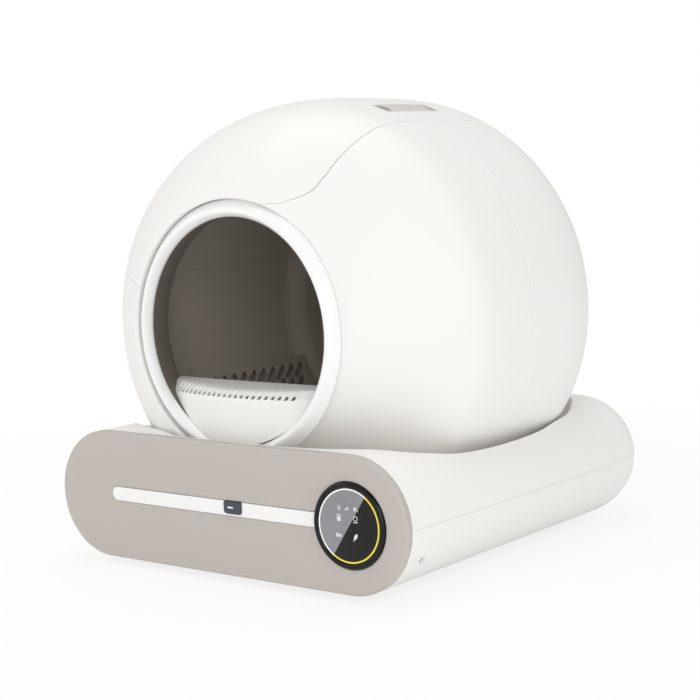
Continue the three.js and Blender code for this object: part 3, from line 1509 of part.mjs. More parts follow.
function makeDisplayLightRing() {
  const front = BEZEL_FRONT_Y + LENS_SINK;
  return tube(
    LIGHT_OUTER,
    LIGHT_INNER,
    front,
    PANEL_THICKNESS - LENS_THICKNESS - SEAT_GAP,
    DISPLAY_X,
    PANEL_MIDDLE,
    WIDE_ROUND,
  );
}

function makeDisplayLens() {
  const front = BEZEL_FRONT_Y + LENS_SINK;
  return rod(
    LIGHT_INNER - SEAT_GAP,
    front,
    PANEL_THICKNESS - LENS_THICKNESS - SEAT_GAP,
    DISPLAY_X,
    PANEL_MIDDLE,
    WIDE_ROUND,
  );
}

function makeDisplayBoard() {
  const half = BOARD_SIZE / 2;
  const front = PANEL_THICKNESS + SEAT_GAP;
  const sunk = PANEL_MIDDLE - BASE_RADIUS + half + DECK_POST_RADIUS;
  return block(
    DISPLAY_X - half,
    DISPLAY_X + half,
    front,
    front + BOARD_THICKNESS + BOARD_STANDOFF,
    sunk,
    sunk + BOARD_SIZE,
  );
}

// The whole object
const litterBox = new THREE.Group();
const machine = new THREE.Group();
machine.position.set(0, (DISPLAY_PROUD - BASE_DEPTH) / 2, FOOT_HEIGHT);
litterBox.add(machine);

function place(name, body, material) {
  const { vertProperties, triVerts } = body.getMesh();
  const geometry = new THREE.BufferGeometry();
  geometry.setAttribute("position", new THREE.BufferAttribute(vertProperties, 3));
  geometry.setIndex(new THREE.BufferAttribute(triVerts, 1));
  geometry.computeVertexNormals();
  const mesh = new THREE.Mesh(geometry, material);
  mesh.name = name;
  machine.add(mesh);
}

place("base_upper_shell", makeBaseUpperShell(), whitePlastic);
place("base_lower_shell", makeBaseLowerShell(), whitePlastic);
place("chassis_deck", makeDeck(), drumPlastic);
place("power_inlet", makePowerInlet(), darkPlastic);
place("main_board", makeMainBoard(), boardGreen);
[
  ["front_left", -1, FOOT_INSET],
  ["front_right", 1, FOOT_INSET],
  ["rear_left", -1, CORE_BACK - FOOT_INSET],
  ["rear_right", 1, CORE_BACK - FOOT_INSET],
].forEach(([where, side, y]) => {
  place(`foot_${where}`, makeFoot(side * (CORE_HALF_WIDTH - FOOT_INSET / 2), y), rubber);
});

place("front_cover", makeFrontCover(), whitePlastic);
place("rear_cover", makeRearCover(), whitePlastic);
place("top_lid", makeTopLid(), whitePlastic);
place("lid_handle", makeLidHandle(), taupePlastic);
place("lid_hinge_pin", makeHingePin(), steel);
place("entry_ring", makeEntryRing(), ringPlastic);
place("neck_collar", makeNeckCollar(), drumPlastic);
place("litter_guard", makeLitterGuard(), whitePlastic);

place("drum_lower_shell", makeDrumLowerShell(), drumPlastic);
place("drum_upper_shell", makeDrumUpperShell(), drumPlastic);
place("sieve_grate", makeSieve(), drumPlastic);
place("ring_gear", makeRingGear(), gearPlastic);
place("drive_pinion", makePinion(), gearPlastic);
place("pinion_shaft", makePinionShaft(), steel);
place("gear_motor", makeGearMotor(), darkPlastic);
[
  ["left", -1],
  ["right", 1],
].forEach(([where, side]) => {
  place(`roller_front_${where}`, makeRoller(side, ROLLER_FRONT_Y), rubber);
  place(`roller_rear_${where}`, makeRoller(side, ROLLER_REAR_Y), rubber);
  place(`roller_axle_${where}`, makeAxle(side), steel);
  place(`roller_cradle_${where}`, makeCradle(side), darkPlastic);
  place(`drawer_runner_${where}`, makeRunner(side), darkPlastic);
});

place("waste_drawer", makeDrawer(), darkPlastic);
place("front_panel", makeFrontPanel(), taupePlastic);
place("accent_strip", makeAccentStrip(), ringPlastic);
place("power_button", makePowerButton(), buttonBlue);
place("switch_plunger", makeSwitchPlunger(), darkPlastic);
place("button_switch", makeButtonSwitch(), darkPlastic);
place("display_bezel", makeDisplayBezel(), glossBlack);
place("display_light_ring", makeDisplayLightRing(), lightGuide);
place("display_lens", makeDisplayLens(), glossBlack);
place("display_board", makeDisplayBoard(), boardGreen);

export default litterBox;
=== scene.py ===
"""The looks of a self cleaning litter box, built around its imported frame.

Sizes are in millimetres, laid out as the machine is drawn: X to the right, Y back from the front
panel's plane and Z up from the underside of the base. placed() turns them into the frame's metres.
"""

import math

import bmesh
import bpy
import numpy as np
from mathutils import Matrix, Vector


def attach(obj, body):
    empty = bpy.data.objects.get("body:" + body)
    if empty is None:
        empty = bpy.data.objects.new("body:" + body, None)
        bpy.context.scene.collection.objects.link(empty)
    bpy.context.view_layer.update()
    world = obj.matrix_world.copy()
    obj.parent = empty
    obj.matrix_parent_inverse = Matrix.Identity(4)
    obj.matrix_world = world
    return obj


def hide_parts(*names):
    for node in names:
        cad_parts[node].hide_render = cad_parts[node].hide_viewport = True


bl_info = {
    "name": "Self Cleaning Litter Box",
    "version": (1, 0, 0),
    "blender": (4, 5, 0),
    "location": "View3D > Sidebar > Litter Box",
    "description": "Builds the shells, drum, drawer and fittings of a self cleaning litter box",
    "category": "Object",
}

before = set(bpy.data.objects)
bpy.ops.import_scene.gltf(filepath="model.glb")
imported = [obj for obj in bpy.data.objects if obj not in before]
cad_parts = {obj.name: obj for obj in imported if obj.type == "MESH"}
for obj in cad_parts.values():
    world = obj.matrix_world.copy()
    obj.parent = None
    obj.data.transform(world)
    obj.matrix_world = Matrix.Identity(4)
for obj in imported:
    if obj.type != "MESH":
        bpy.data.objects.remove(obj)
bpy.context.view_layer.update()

# Overall layout
BASE_WIDTH = 550
BASE_DEPTH = 603
BASE_HEIGHT = 162
FOOT_HEIGHT = 8
DISPLAY_PROUD = 1.2
MM = 0.001
SHIFT = np.array([0, (DISPLAY_PROUD - BASE_DEPTH) / 2, FOOT_HEIGHT])

# Base
BASE_RADIUS = BASE_HEIGHT / 2
CORE_HALF_WIDTH = BASE_WIDTH / 2 - BASE_RADIUS
CORE_BACK = BASE_DEPTH - BASE_RADIUS
CORE_CORNER = 11
SHELL_WALL = 3
SHELL_FRONT = 10.4
PART_LINE = 0.3
INLET = (41, 42, 6.3)
DECK_TOP = 122
SEAT_GAP = 0.3

# Globe
GLOBE_RADIUS = 277.6
GLOBE_AXIS_Z = 296.5
GLOBE_FRONT = 18
GLOBE_REAR = 504.5
GLOBE_LENGTH = GLOBE_REAR - GLOBE_FRONT
GLOBE_MIDDLE = GLOBE_FRONT + GLOBE_LENGTH * 0.645
GLOBE_BLUNTNESS = 3.46
GLOBE_WALL = 3.2
COVER_SPLIT_Y = GLOBE_FRONT + GLOBE_LENGTH * 0.528
VALLEY_START_Y = GLOBE_FRONT + GLOBE_LENGTH * 0.0493
# The valley deepens and then fades over these angles, clockwise from the top.
VALLEY_DEEPENS = (5, 50)
VALLEY_FADES = (130, 230)
VALLEY_CURVE = (1.8, 6)
LID_REAR_Y = GLOBE_FRONT + GLOBE_LENGTH * 0.868
LID_LEFT_ANGLE = -71
LID_SEAM = 0.9
MOUTH_ROLL = 3.1
START_FADE = 90
FRONT_SWEEP = 1.32

# Lid hinge and handle
HINGE_X = -264.37
HINGE_Z = 387.53
HINGE_STANDOFF = 2
HINGE_RADIUS = 4.5
HINGE_BORE = 2.15
HINGE_ROOM = 5.3
HINGE_GAP = 0.6
COVER_KNUCKLES = ((290.87, 306.87), (384.88, 400.88))
LID_KNUCKLE = (307.47, 384.28)
HANDLE_TURN = math.radians(20)
HANDLE_HALF_WIDTH = 14.5
HANDLE_HALF_LENGTH = 56
HANDLE_CORNER = 4.4
HANDLE_DEPTH = 15
HANDLE_WALL = 2.2
HANDLE_FLANGE = 4
HANDLE_SLOT = 11
PLATE_UNDERSIDE = 4.8

# Ring, neck and guard
RING_AXIS_Z = 291.2
MOUTH_BORE_RADIUS = 160.7
MOUTH_WALL = 2.6
MOUTH_FLANGE = 4.8
MOUTH_FLANGE_THICKNESS = 3.2
RING_MOUTH_RADIUS = 138.7
RING_LIP_RADIUS = 159.7
RING_PEAK_STEP = 7.3
RING_PEAK_Y = 25
RING_FULLNESS = 2
RING_MOUTH_Y = 37.9
RING_LIP_Y = 42.3
RING_LIP_THICKNESS = 3.3
RING_BACK_Y = RING_LIP_Y + RING_LIP_THICKNESS
RING_SPIGOT_LENGTH = 16
SPIGOT_RADIUS = MOUTH_BORE_RADIUS - MOUTH_FLANGE - SEAT_GAP
NECK_FRONT_Y = RING_MOUTH_Y + RING_LIP_THICKNESS
NECK_BACK_Y = NECK_FRONT_Y + 35
NECK_FLARE = 7
NECK_WALL = 2.5
GUARD_FRONT_Y = 30
GUARD_REAR_Y = 80
GUARD_FRONT_TOP = 219.3
GUARD_RISE = 7
GUARD_BEVEL = 8
GUARD_BOW = 22
GUARD_HALF_CHORD = 118.6
GUARD_WALL = 3
GUARD_STEADY = 0.975
COMB_COUNT = 22
COMB_START = -108
COMB_PITCH = 9.15
COMB_SLOT = 4.8
COMB_EDGE = 0.55
GROOVE_DEPTH = 1.2

# Drum and sieve
DRUM_RADIUS = 208
DRUM_WALL = 3
DRUM_MOUTH_RADIUS = 151
DRUM_MOUTH_Y = 79.3
DRUM_SHOULDER_Y = 125.3
DRUM_BARREL_END = 394
GEAR_SEAT_Y = 406
GEAR_SEAT_RADIUS = 191
GEAR_SEAT_END_Y = 438
DRUM_BACK_Y = 478
DRUM_PART_Z = RING_AXIS_Z + 64
DRUM_STEP_START = 376
DRUM_STEP_END = 412
DRUM_PORT = (-75, 75, 170, 350, 18)
SIEVE_RADIUS = 196
SIEVE_WALL = 2.6
SIEVE_MIDDLE = SIEVE_RADIUS - SIEVE_WALL / 2
SIEVE_FRONT = 150
SIEVE_REAR = 388
SIEVE_TOP_ANGLE = 68
SIEVE_LOW_ANGLE = 34
SIEVE_ROWS = 5
SIEVE_ROW_STEP = 5.7
SIEVE_ROW_SHIFT = 9.4
SIEVE_LAST_SLOT = 365
SIEVE_PITCH = 20.5
SIEVE_SLOT_WIDTH = 8
SIEVE_SLOT_LOW = 59.3
SIEVE_SLOT_HIGH = 63.7
SIEVE_SLOT_LEAN = 19.6
SIEVE_MARGIN = 4

# Panel
PANEL_THICKNESS = 9
PANEL_MIDDLE = BASE_HEIGHT / 2
PANEL_EDGE_RADIUS = 3
PANEL_DISH = 6.5
STRIP_LEFT = -190
STRIP_TOP = 9.2
STRIP_BOTTOM = -8.6
STRIP_MIDDLE = PANEL_MIDDLE + (STRIP_TOP + STRIP_BOTTOM) / 2
STRIP_HALF = (STRIP_TOP - STRIP_BOTTOM) / 2
STRIP_GAP = 0.5
BUTTON_LEFT = 1.3
BUTTON_RIGHT = 28.3
BUTTON_LOW = 75.2
BUTTON_FRONT = 3.8
BUTTON_MARK = (12.4, 83.2, 8.6, 2.2)
DISPLAY_X = CORE_HALF_WIDTH
DISPLAY_RADIUS = 50.5
INK_FRONT = -0.52
INK_BACK = -0.3

# Rounded edges
ROLL_STEPS = (0, 0.06, 0.24, 0.55)
SHARP_ANGLE = math.radians(38)


def placed(points):
    """Millimetres in the machine's layout to metres in the frame."""
    return (np.asarray(points, float) + SHIFT) * MM


def linear(hex_text):
    """An sRGB hex value as linear red, green and blue."""
    value = [int(hex_text[i : i + 2], 16) / 255 for i in (1, 3, 5)]
    return [c / 12.92 if c <= 0.04045 else ((c + 0.055) / 1.055) ** 2.4 for c in value]


def colour(name, description, hex_text):
    return bpy.props.FloatVectorProperty(
        name=name, description=description, default=linear(hex_text),
        subtype="COLOR", size=3, min=0, max=1,
    )


def length(name, description, millimetres):
    return bpy.props.FloatProperty(
        name=name, description=description, default=millimetres * MM,
        subtype="DISTANCE", unit="LENGTH", min=0,
    )


class LitterBoxColours(bpy.types.PropertyGroup):
    shell: colour("Shell", "White plastic of the globe and base", "#F6F5F2")
    ring: colour("Ring", "Polished white plastic of the entry ring", "#FAFAF8")
    guard: colour("Guard", "White plastic of the litter guard", "#F6F5F1")
    panel: colour("Panel", "Warm grey plastic of the front panel", "#C2BBB4")
    handle: colour("Handle", "Pale grey plastic of the lid handle", "#D8D4CE")
    drum: colour("Drum", "Warm grey plastic of the drum", "#BFB6AD")
    button: colour("Button", "Slate plastic of the power button", "#3A424C")
    light: colour("Light", "Light guide round the display", "#F2E24A")
    icon: colour("Icon", "Pictograms on the display", "#E9E9EC")
    floor: colour("Floor", "Pale studio floor", "#FDFDFD")


class LitterBoxSizes(bpy.types.PropertyGroup):
    seam_edge: length("Seam edge", "Rounding of the edges along the lid's seam", 1.1)
    part_edge: length("Part edge", "Rounding of the edges along the part lines", 0.5)
    rim_edge: length("Rim edge", "Rounding of the rim of the well", 3)
    comb_slot: length("Comb slot", "Width of a slot in the litter guard", COMB_SLOT)


# Meshes


def smoothed(bm):
    """Smooth shading everywhere but across the sharp edges."""
    for face in bm.faces:
        face.smooth = True
    for edge in bm.edges:
        edge.smooth = len(edge.link_faces) != 2 or edge.calc_face_angle(0) <= SHARP_ANGLE


def add_piece(bm, name, node, finish_name, body="base", weld=1e-6):
    """Turns a bmesh in metres into a piece that rides on a body and stands in for a node."""
    if weld:
        bmesh.ops.remove_doubles(bm, verts=bm.verts, dist=weld)
    loose = [v for v in bm.verts if not v.link_faces]
    bmesh.ops.delete(bm, geom=loose, context="VERTS")
    bmesh.ops.recalc_face_normals(bm, faces=bm.faces)
    smoothed(bm)
    mesh = bpy.data.meshes.new(name)
    bm.to_mesh(mesh)
    bm.free()
    mesh.materials.append(finish(finish_name))
    piece = bpy.data.objects.new(name, mesh)
    bpy.context.scene.collection.objects.link(piece)
    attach(piece, body)
    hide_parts(node)
    return piece


def body_of(points, faces):
    """A bmesh in metres from points in the machine's layout."""
    bm = bmesh.new()
    verts = [bm.verts.new(p) for p in placed(points)]
    for face in faces:
        ring = [verts[i] for i in face]
        if len(set(ring)) > 2 and not bm.faces.get(ring):
            bm.faces.new(ring)
    return bm


def lines(count, span, start=0, end=0):
    """Shares from 0 to 1, close together where the first or last edge is rounded."""
    body = np.linspace(start / span, 1 - end / span, count)
    head = [k * start / span for k in ROLL_STEPS] if start else []
    tail = [1 - k * end / span for k in reversed(ROLL_STEPS)] if end else []
    return np.array([*head, *body, *tail])


def edge_depth(distance, radius):
    """How far a rounded edge has dropped, at a distance from it."""
    left = np.clip(radius - distance, 0, radius)
    return radius - np.sqrt(radius**2 - left**2)


def run_from_start(points):
    """How far each point of a grid is along its own row from the row's first point."""
    steps = np.linalg.norm(np.diff(points, axis=1), axis=-1)
    return np.concatenate([np.zeros((len(points), 1)), np.cumsum(steps, axis=1)], axis=1)


def skin_body(surface, s, t, wall, depth, keep=None, wrap=False, fit=None):
    """A closed shell: the surface outside, and the same surface drawn in by the wall inside.

    keep says which cells of the grid there are. wrap joins the last line of s to the first, and
    the last line of t is then closed as a pole. fit moves the inner face's points where a
    neighbour needs the room.
    """
    grid_s, grid_t = np.meshgrid(s, t, indexing="ij")
    step = 1e-4
    points = surface(grid_s, grid_t)
    along = surface(grid_s + step, grid_t) - surface(grid_s - step, grid_t)
    after, before = np.minimum(grid_t + step, t[-1]), np.maximum(grid_t - step, t[0])
    normal = np.cross(along, surface(grid_s, after) - surface(grid_s, before))
    normal /= np.linalg.norm(normal, axis=-1, keepdims=True)
    outer, inner = points - normal * depth[..., None], points - normal * wall
    if fit:
        inner = fit(inner)
    rows, cols = grid_s.shape
    cells = rows if wrap else rows - 1
    if keep is None:
        keep = np.ones((cells, cols - 1), bool)
    count = rows * cols
    faces = []

    def kept(i, j):
        inside = 0 <= j < cols - 1 and (wrap or 0 <= i < cells)
        return inside and bool(keep[i % cells, j])

    for i in range(cells):
        k = (i + 1) % rows
        for j in range(cols - 1):
            if not keep[i, j]:
                continue
            a, b, c, d = i * cols + j, k * cols + j, k * cols + j + 1, i * cols + j + 1
            faces += [(a, b, c, d), (d + count, c + count, b + count, a + count)]
            sides = (
                (kept(i - 1, j), a, d),
                (kept(i + 1, j), c, b),
                (kept(i, j - 1), b, a),
                (kept(i, j + 1) or (wrap and j == cols - 2), d, c),
            )
            faces += [(p, q, q + count, p + count) for joined, p, q in sides if not joined]
    if wrap:
        pole = [i * cols + cols - 1 for i in range(rows)]
        faces += [tuple(pole), tuple(i + count for i in reversed(pole))]
    return body_of(np.concatenate([outer.reshape(-1, 3), inner.reshape(-1, 3)]), faces)


def ring_body(rings, wrap=True, caps=False):
    """A skin over rings of points. wrap joins the last ring to the first."""
    rings = np.asarray(rings, float)
    rows, cols = rings.shape[:2]
    faces = []
    for i in range(rows if wrap else rows - 1):
        k = (i + 1) % rows
        for j in range(cols):
            m = (j + 1) % cols
            faces.append((i * cols + j, i * cols + m, k * cols + m, k * cols + j))
    if caps:
        faces.append(tuple(range(cols)))
        faces.append(tuple(reversed(range((rows - 1) * cols, rows * cols))))
    return body_of(rings.reshape(-1, 3), faces)


def unit(rows):
    """Each row's direction, one long."""
    return rows / np.linalg.norm(rows, axis=1, keepdims=True)


def outward_of(loop):
    """The direction out of a loop at each of its points, for a loop that runs anticlockwise."""
    run = unit(np.roll(loop, -1, axis=0) - np.roll(loop, 1, axis=0))
    return np.stack([run[:, 1], -run[:, 0]], axis=1)


def softened(profile, radius, steps=4):
    """A closed outline with its corners rounded. radius is one number or one a corner."""
    count = len(profile)
    radii = [radius] * count if np.isscalar(radius) else list(radius)
    made = []
    for i, point in enumerate(profile):
        here = np.array(point, float)
        before = np.array(profile[i - 1], float) - here
        after = np.array(profile[(i + 1) % count], float) - here
        room_before, room_after = np.linalg.norm(before), np.linalg.norm(after)
        before, after = before / room_before, after / room_after
        turn = math.acos(float(np.clip(before @ after, -1, 1)))
        if radii[i] <= 0 or turn > math.pi - 0.02:
            made.append(here)
            continue
        reach = min(radii[i] / math.tan(turn / 2), room_before * 0.49, room_after * 0.49)
        r = reach * math.tan(turn / 2)
        middle = (before + after) / np.linalg.norm(before + after)
        centre = here + middle * (r / math.sin(turn / 2))
        a0, a1 = (math.atan2(*(here + way * reach - centre)[::-1]) for way in (before, after))
        sweep = (a1 - a0 + math.pi) % (2 * math.pi) - math.pi
        for k in range(steps + 1):
            a = a0 + sweep * k / steps
            made.append(centre + r * np.array([math.cos(a), math.sin(a)]))
    return np.array(made)


def turned(profile, segments=128, x=0.0, z=0.0):
    """A closed outline of [radius, y] points turned about a line along Y."""
    radius, y = np.asarray(profile, float).T
    angles = np.linspace(0, 2 * np.pi, segments, endpoint=False)
    return ring_body(
        [np.stack([x + radius * np.sin(a), y, z + radius * np.cos(a)], axis=1) for a in angles]
    )


def arc(x, y, radius, start, end, steps):
    angles = np.radians(np.linspace(start, end, steps + 1))
    return [[x + radius * math.cos(a), y + radius * math.sin(a)] for a in angles]


def round_hole(x, y, radius):
    return arc(x, y, radius, 0, 360, 48)[:-1]


def rounded_box(x0, x1, y0, y1, radius, steps=6):
    return [
        *arc(x1 - radius, y0 + radius, radius, -90, 0, steps),
        *arc(x1 - radius, y1 - radius, radius, 0, 90, steps),
        *arc(x0 + radius, y1 - radius, radius, 90, 180, steps),
        *arc(x0 + radius, y0 + radius, radius, 180, 270, steps),
    ]


def prism(outline, low, high, to_point, edge=0.0, steps=3):
    """An outline pushed from low to high by to_point(a, b, c), with both end edges rounded."""
    outline = np.asarray(outline, float)
    after = np.roll(outline, -1, axis=0)
    outward = outward_of(outline)
    if np.sum(outline[:, 0] * after[:, 1] - after[:, 0] * outline[:, 1]) < 0:
        outward = -outward
    levels = [(low, 0), (high, 0)]
    if edge:
        tilts = [math.pi / 2 * k / steps for k in range(steps + 1)]
        rise = [(edge * (1 - math.cos(a)), edge * (1 - math.sin(a))) for a in tilts]
        levels = [(low + d, inset) for d, inset in rise]
        levels += [(high - d, inset) for d, inset in reversed(rise)]
    rings = [[to_point(a, b, c) for a, b in outline - outward * inset] for c, inset in levels]
    return ring_body(rings, wrap=False, caps=True)


def facing_front(a, b, c):
    return (a, c, b)


def facing_up(a, b, c):
    return (a, b, c)


def facing_right(a, b, c):
    return (c, a, b)


def resampled(outline, step):
    """The closed outline with points added along its long lines."""
    made = []
    for here, after in zip(outline, [*outline[1:], outline[0]]):
        here, after = np.array(here, float), np.array(after, float)
        count = max(1, math.ceil(float(np.linalg.norm(after - here)) / step))
        made += [here + (after - here) * k / count for k in range(count)]
    return np.array(made)


def as_mesh(bm, name):
    mesh = bpy.data.meshes.new(name)
    bmesh.ops.recalc_face_normals(bm, faces=bm.faces)
    bm.to_mesh(mesh)
    bm.free()
    return mesh


def merged(parts):
    """Several bodies as one mesh."""
    whole = bmesh.new()
    for part in parts:
        mesh = as_mesh(part, "part")
        whole.from_mesh(mesh)
        bpy.data.meshes.remove(mesh)
    return whole


def bisected(bm, height, side):
    """Keeps what is under a height (side 1) or over it (side -1), and closes the cut."""
    cut = bmesh.ops.bisect_plane(
        bm,
        geom=[*bm.verts, *bm.edges, *bm.faces],
        dist=1e-7,
        plane_co=Vector(placed((0, 0, height))),
        plane_no=Vector((0, 0, side)),
        clear_outer=True,
    )
    edges = [e for e in cut["geom_cut"] if isinstance(e, bmesh.types.BMEdge)]
    edges = [e for e in edges if len(e.link_faces) == 1]
    if edges:
        bmesh.ops.triangle_fill(bm, edges=edges, use_beauty=True)
    return bm


def carve(piece, cutters):
    """Takes the cutters' room out of a piece."""
    for cutter in cutters:
        tool = bpy.data.objects.new("cutter", as_mesh(cutter, "cutter"))
        bpy.context.scene.collection.objects.link(tool)
        change = piece.modifiers.new("cut", "BOOLEAN")
        change.operation = "DIFFERENCE"
        change.solver = "EXACT"
        change.object = tool
        bpy.context.view_layer.update()
        graph = bpy.context.evaluated_depsgraph_get()
        made = bpy.data.meshes.new_from_object(piece.evaluated_get(graph))
        if not made.polygons:
            raise RuntimeError(f"nothing is left of {piece.name} after a cut")
        piece.modifiers.clear()
        old, piece.data = piece.data, made
        made.name = piece.name
        bpy.data.meshes.remove(old)
        bpy.data.objects.remove(tool)
    bm = bmesh.new()
    bm.from_mesh(piece.data)
    smoothed(bm)
    bm.to_mesh(piece.data)
    bm.free()


# Materials


def add_node(tree, kind, inputs=None, **settings):
    """Adds a node with its settings, its constants and its links."""
    node = tree.nodes.new("ShaderNode" + kind)
    for key, value in settings.items():
        setattr(node, key, value)
    for key, value in (inputs or {}).items():
        if isinstance(value, bpy.types.NodeSocket):
            tree.links.new(value, node.inputs[key])
        else:
            node.inputs[key].default_value = value
    return node.outputs


def new_material(name):
    """A material without nodes, with its tree and the object's own coordinates."""
    material = bpy.data.materials.new(name)
    material.use_nodes = True
    tree = material.node_tree
    tree.nodes.clear()
    return material, tree, add_node(tree, "TexCoord")["Object"]


def rgba(value, factor=1):
    """A linear colour or a hex value as the four numbers that a socket takes."""
    value = linear(value) if isinstance(value, str) else value
    return [*(min(1, c * factor) for c in list(value)[:3]), 1]


def end_tree(tree, look):
    """Joins a surface with this look to the material's output."""
    shader = add_node(tree, "BsdfPrincipled", look)["BSDF"]
    add_node(tree, "OutputMaterial", {"Surface": shader})


def moulded_plastic(
    name, value, roughness, grain=1.6, grain_depth=0.01, cloud=0.02, specular=0.5, ior=1.53
):
    """Injection moulded plastic: a fine spark grain in the surface, and a faint flow variation."""
    material, tree, place = new_material(name)
    fine = add_node(tree, "TexNoise", {"Vector": place, "Scale": 1 / (grain * MM)})["Fac"]
    broad = {"Vector": place, "Scale": 1 / (120 * MM), "Detail": 1.0}
    shades = {"A": rgba(value, 1 - cloud), "B": rgba(value, 1 + cloud)}
    mix = {"Factor": add_node(tree, "TexNoise", broad)["Fac"], **shades}
    tint = add_node(tree, "Mix", mix, data_type="RGBA")
    spread = {"To Min": roughness - 0.04, "To Max": roughness + 0.04}
    rough = add_node(tree, "MapRange", {"Value": fine, "From Min": 0.3, "From Max": 0.7, **spread})
    bump = add_node(tree, "Bump", {"Height": fine, "Strength": 1.0, "Distance": grain_depth * MM})
    look = {"Base Color": tint["Result"], "Roughness": rough["Result"], "Normal": bump["Normal"]}
    end_tree(tree, {**look, "IOR": ior, "Specular IOR Level": specular})
    return material


def ground_steel(name):
    """Bright drawn steel rod: fine marks run round it and break up its highlight."""
    material, tree, place = new_material(name)
    stretch = add_node(tree, "Mapping", {"Vector": place, "Scale": (300, 3000, 300)})
    marks = add_node(tree, "TexNoise", {"Vector": stretch["Vector"], "Scale": 1.0})
    rough = add_node(tree, "MapRange", {"Value": marks["Fac"], "To Min": 0.18, "To Max": 0.36})
    base = {"Base Color": rgba("#C3C5C8"), "Metallic": 1.0}
    end_tree(tree, {**base, "Roughness": rough["Result"]})
    return material


def painted_glare_half(tree, place, blend):
    """1 over the display's upper left half and 0 under it, across a leaning line: where the glare
    is painted.
    """
    split = add_node(tree, "SeparateXYZ", {"Vector": place})
    centre = placed([DISPLAY_X, 0, PANEL_MIDDLE])
    lean, raised = 1.52, 0.0012
    line = {0: split["X"], 1: -lean, 2: float(centre[0] * lean - centre[2] + raised)}
    across = add_node(tree, "Math", line, operation="MULTIPLY_ADD")
    side = add_node(tree, "Math", {0: split["Z"], 1: across["Value"]}, operation="ADD")
    ends = {"From Min": -blend, "From Max": blend}
    return add_node(tree, "MapRange", {"Value": side["Value"], **ends})["Result"]


def smoked_lens(name):
    """Black acrylic with a painted reflection: a paler diagonal glare across its upper left half.
    """
    material, tree, place = new_material(name)
    # Painted reflection: the paler glare over the lens's upper left half.
    sweep = painted_glare_half(tree, place, 0.0002)
    cloud = add_node(tree, "TexNoise", {"Vector": place, "Scale": 1 / (40 * MM)})["Fac"]
    shades = {"A": rgba("#8A898E"), "B": rgba("#9A999F")}
    pale = add_node(tree, "Mix", {"Factor": cloud, **shades}, data_type="RGBA")
    mix = {"Factor": sweep, "A": rgba("#161413"), "B": pale["Result"]}
    tint = add_node(tree, "Mix", mix, data_type="RGBA")["Result"]
    gloss = {"Roughness": 0.06, "Specular IOR Level": 0.3, "IOR": 1.49}
    end_tree(tree, {"Base Color": tint, **gloss})
    return material


def lit_guide(name, value):
    """Moulded acrylic light guide, lit yellow from behind, with a painted reflection in white over
    its upper left.
    """
    material, tree, place = new_material(name)
    # The white upper left is a painted reflection; the yellow below is the guide's own light.
    mix = {"Factor": painted_glare_half(tree, place, 0.004), "A": rgba(value), "B": rgba("#F4F2F0")}
    tint = add_node(tree, "Mix", mix, data_type="RGBA")["Result"]
    glow = {"Emission Color": tint, "Emission Strength": 0.25}
    end_tree(tree, {"Base Color": tint, "Roughness": 0.3, **glow})
    return material


def studio_white(name, value, plain):
    """Matt studio paper. The camera sees mostly its own white, and the object's shadow on it.

    plain is the share of that white under the object, and it grows to all of it further out.
    """
    material, tree, place = new_material(name)
    grain = add_node(tree, "TexNoise", {"Vector": place, "Scale": 1 / (4 * MM)})["Fac"]
    relief = {"Height": grain, "Strength": 0.2, "Distance": 0.02 * MM}
    bump = add_node(tree, "Bump", relief)["Normal"]
    paper = add_node(tree, "BsdfDiffuse", {"Color": rgba(value), "Normal": bump})["BSDF"]
    glow = add_node(tree, "Emission", {"Color": rgba([1, 1, 1]), "Strength": 1.0})["Emission"]
    path = add_node(tree, "LightPath")
    seen = path["Is Camera Ray"]
    for ray in ("Is Glossy Ray", "Is Transmission Ray"):
        seen = add_node(tree, "Math", {0: seen, 1: path[ray]}, operation="MAXIMUM")["Value"]
    reach = add_node(tree, "VectorMath", {0: place}, operation="LENGTH")["Value"]
    ends = {"From Min": 0.45, "From Max": 1.4, "To Min": plain, "To Max": 1.0}
    spread = add_node(
        tree, "MapRange", {"Value": reach, **ends}, interpolation_type="SMOOTHSTEP"
    )["Result"]
    share = add_node(tree, "Math", {0: seen, 1: spread}, operation="MULTIPLY")["Value"]
    mixed = add_node(tree, "MixShader", {0: share, 1: paper, 2: glow})["Shader"]
    add_node(tree, "OutputMaterial", {"Surface": mixed})
    return material


WHITE = "ABS white satin moulded"
POLISHED_WHITE = "ABS white polished moulded"
GUARD_WHITE = "ABS white guard moulded"
TAUPE = "ABS warm grey satin moulded"
HANDLE_GREY = "ABS light grey satin moulded"
DRUM_GREY = "PP warm grey moulded"
# The neck's grey is the drum's polypropylene darkened as painted shade.
NECK_SHADED_GREY = "PP dark grey moulded"
DARK = "PA dark grey moulded"
BLACK = "PMMA black polished"
# The lens's pale upper left half is a painted reflection.
LENS = "PMMA smoked printed lens"
LIGHT = "PMMA lit light guide"
SLATE = "ABS slate polished button"
INK = "Ink pale screen printed"
GEAR_WHITE = "POM natural moulded"
RUBBER = "Rubber black moulded"
STEEL = "Steel bright ground"
BOARD = "FR4 green solder mask"

POLYPROPYLENE = {"grain": 2.2, "grain_depth": 0.02, "cloud": 0.03, "ior": 1.49}
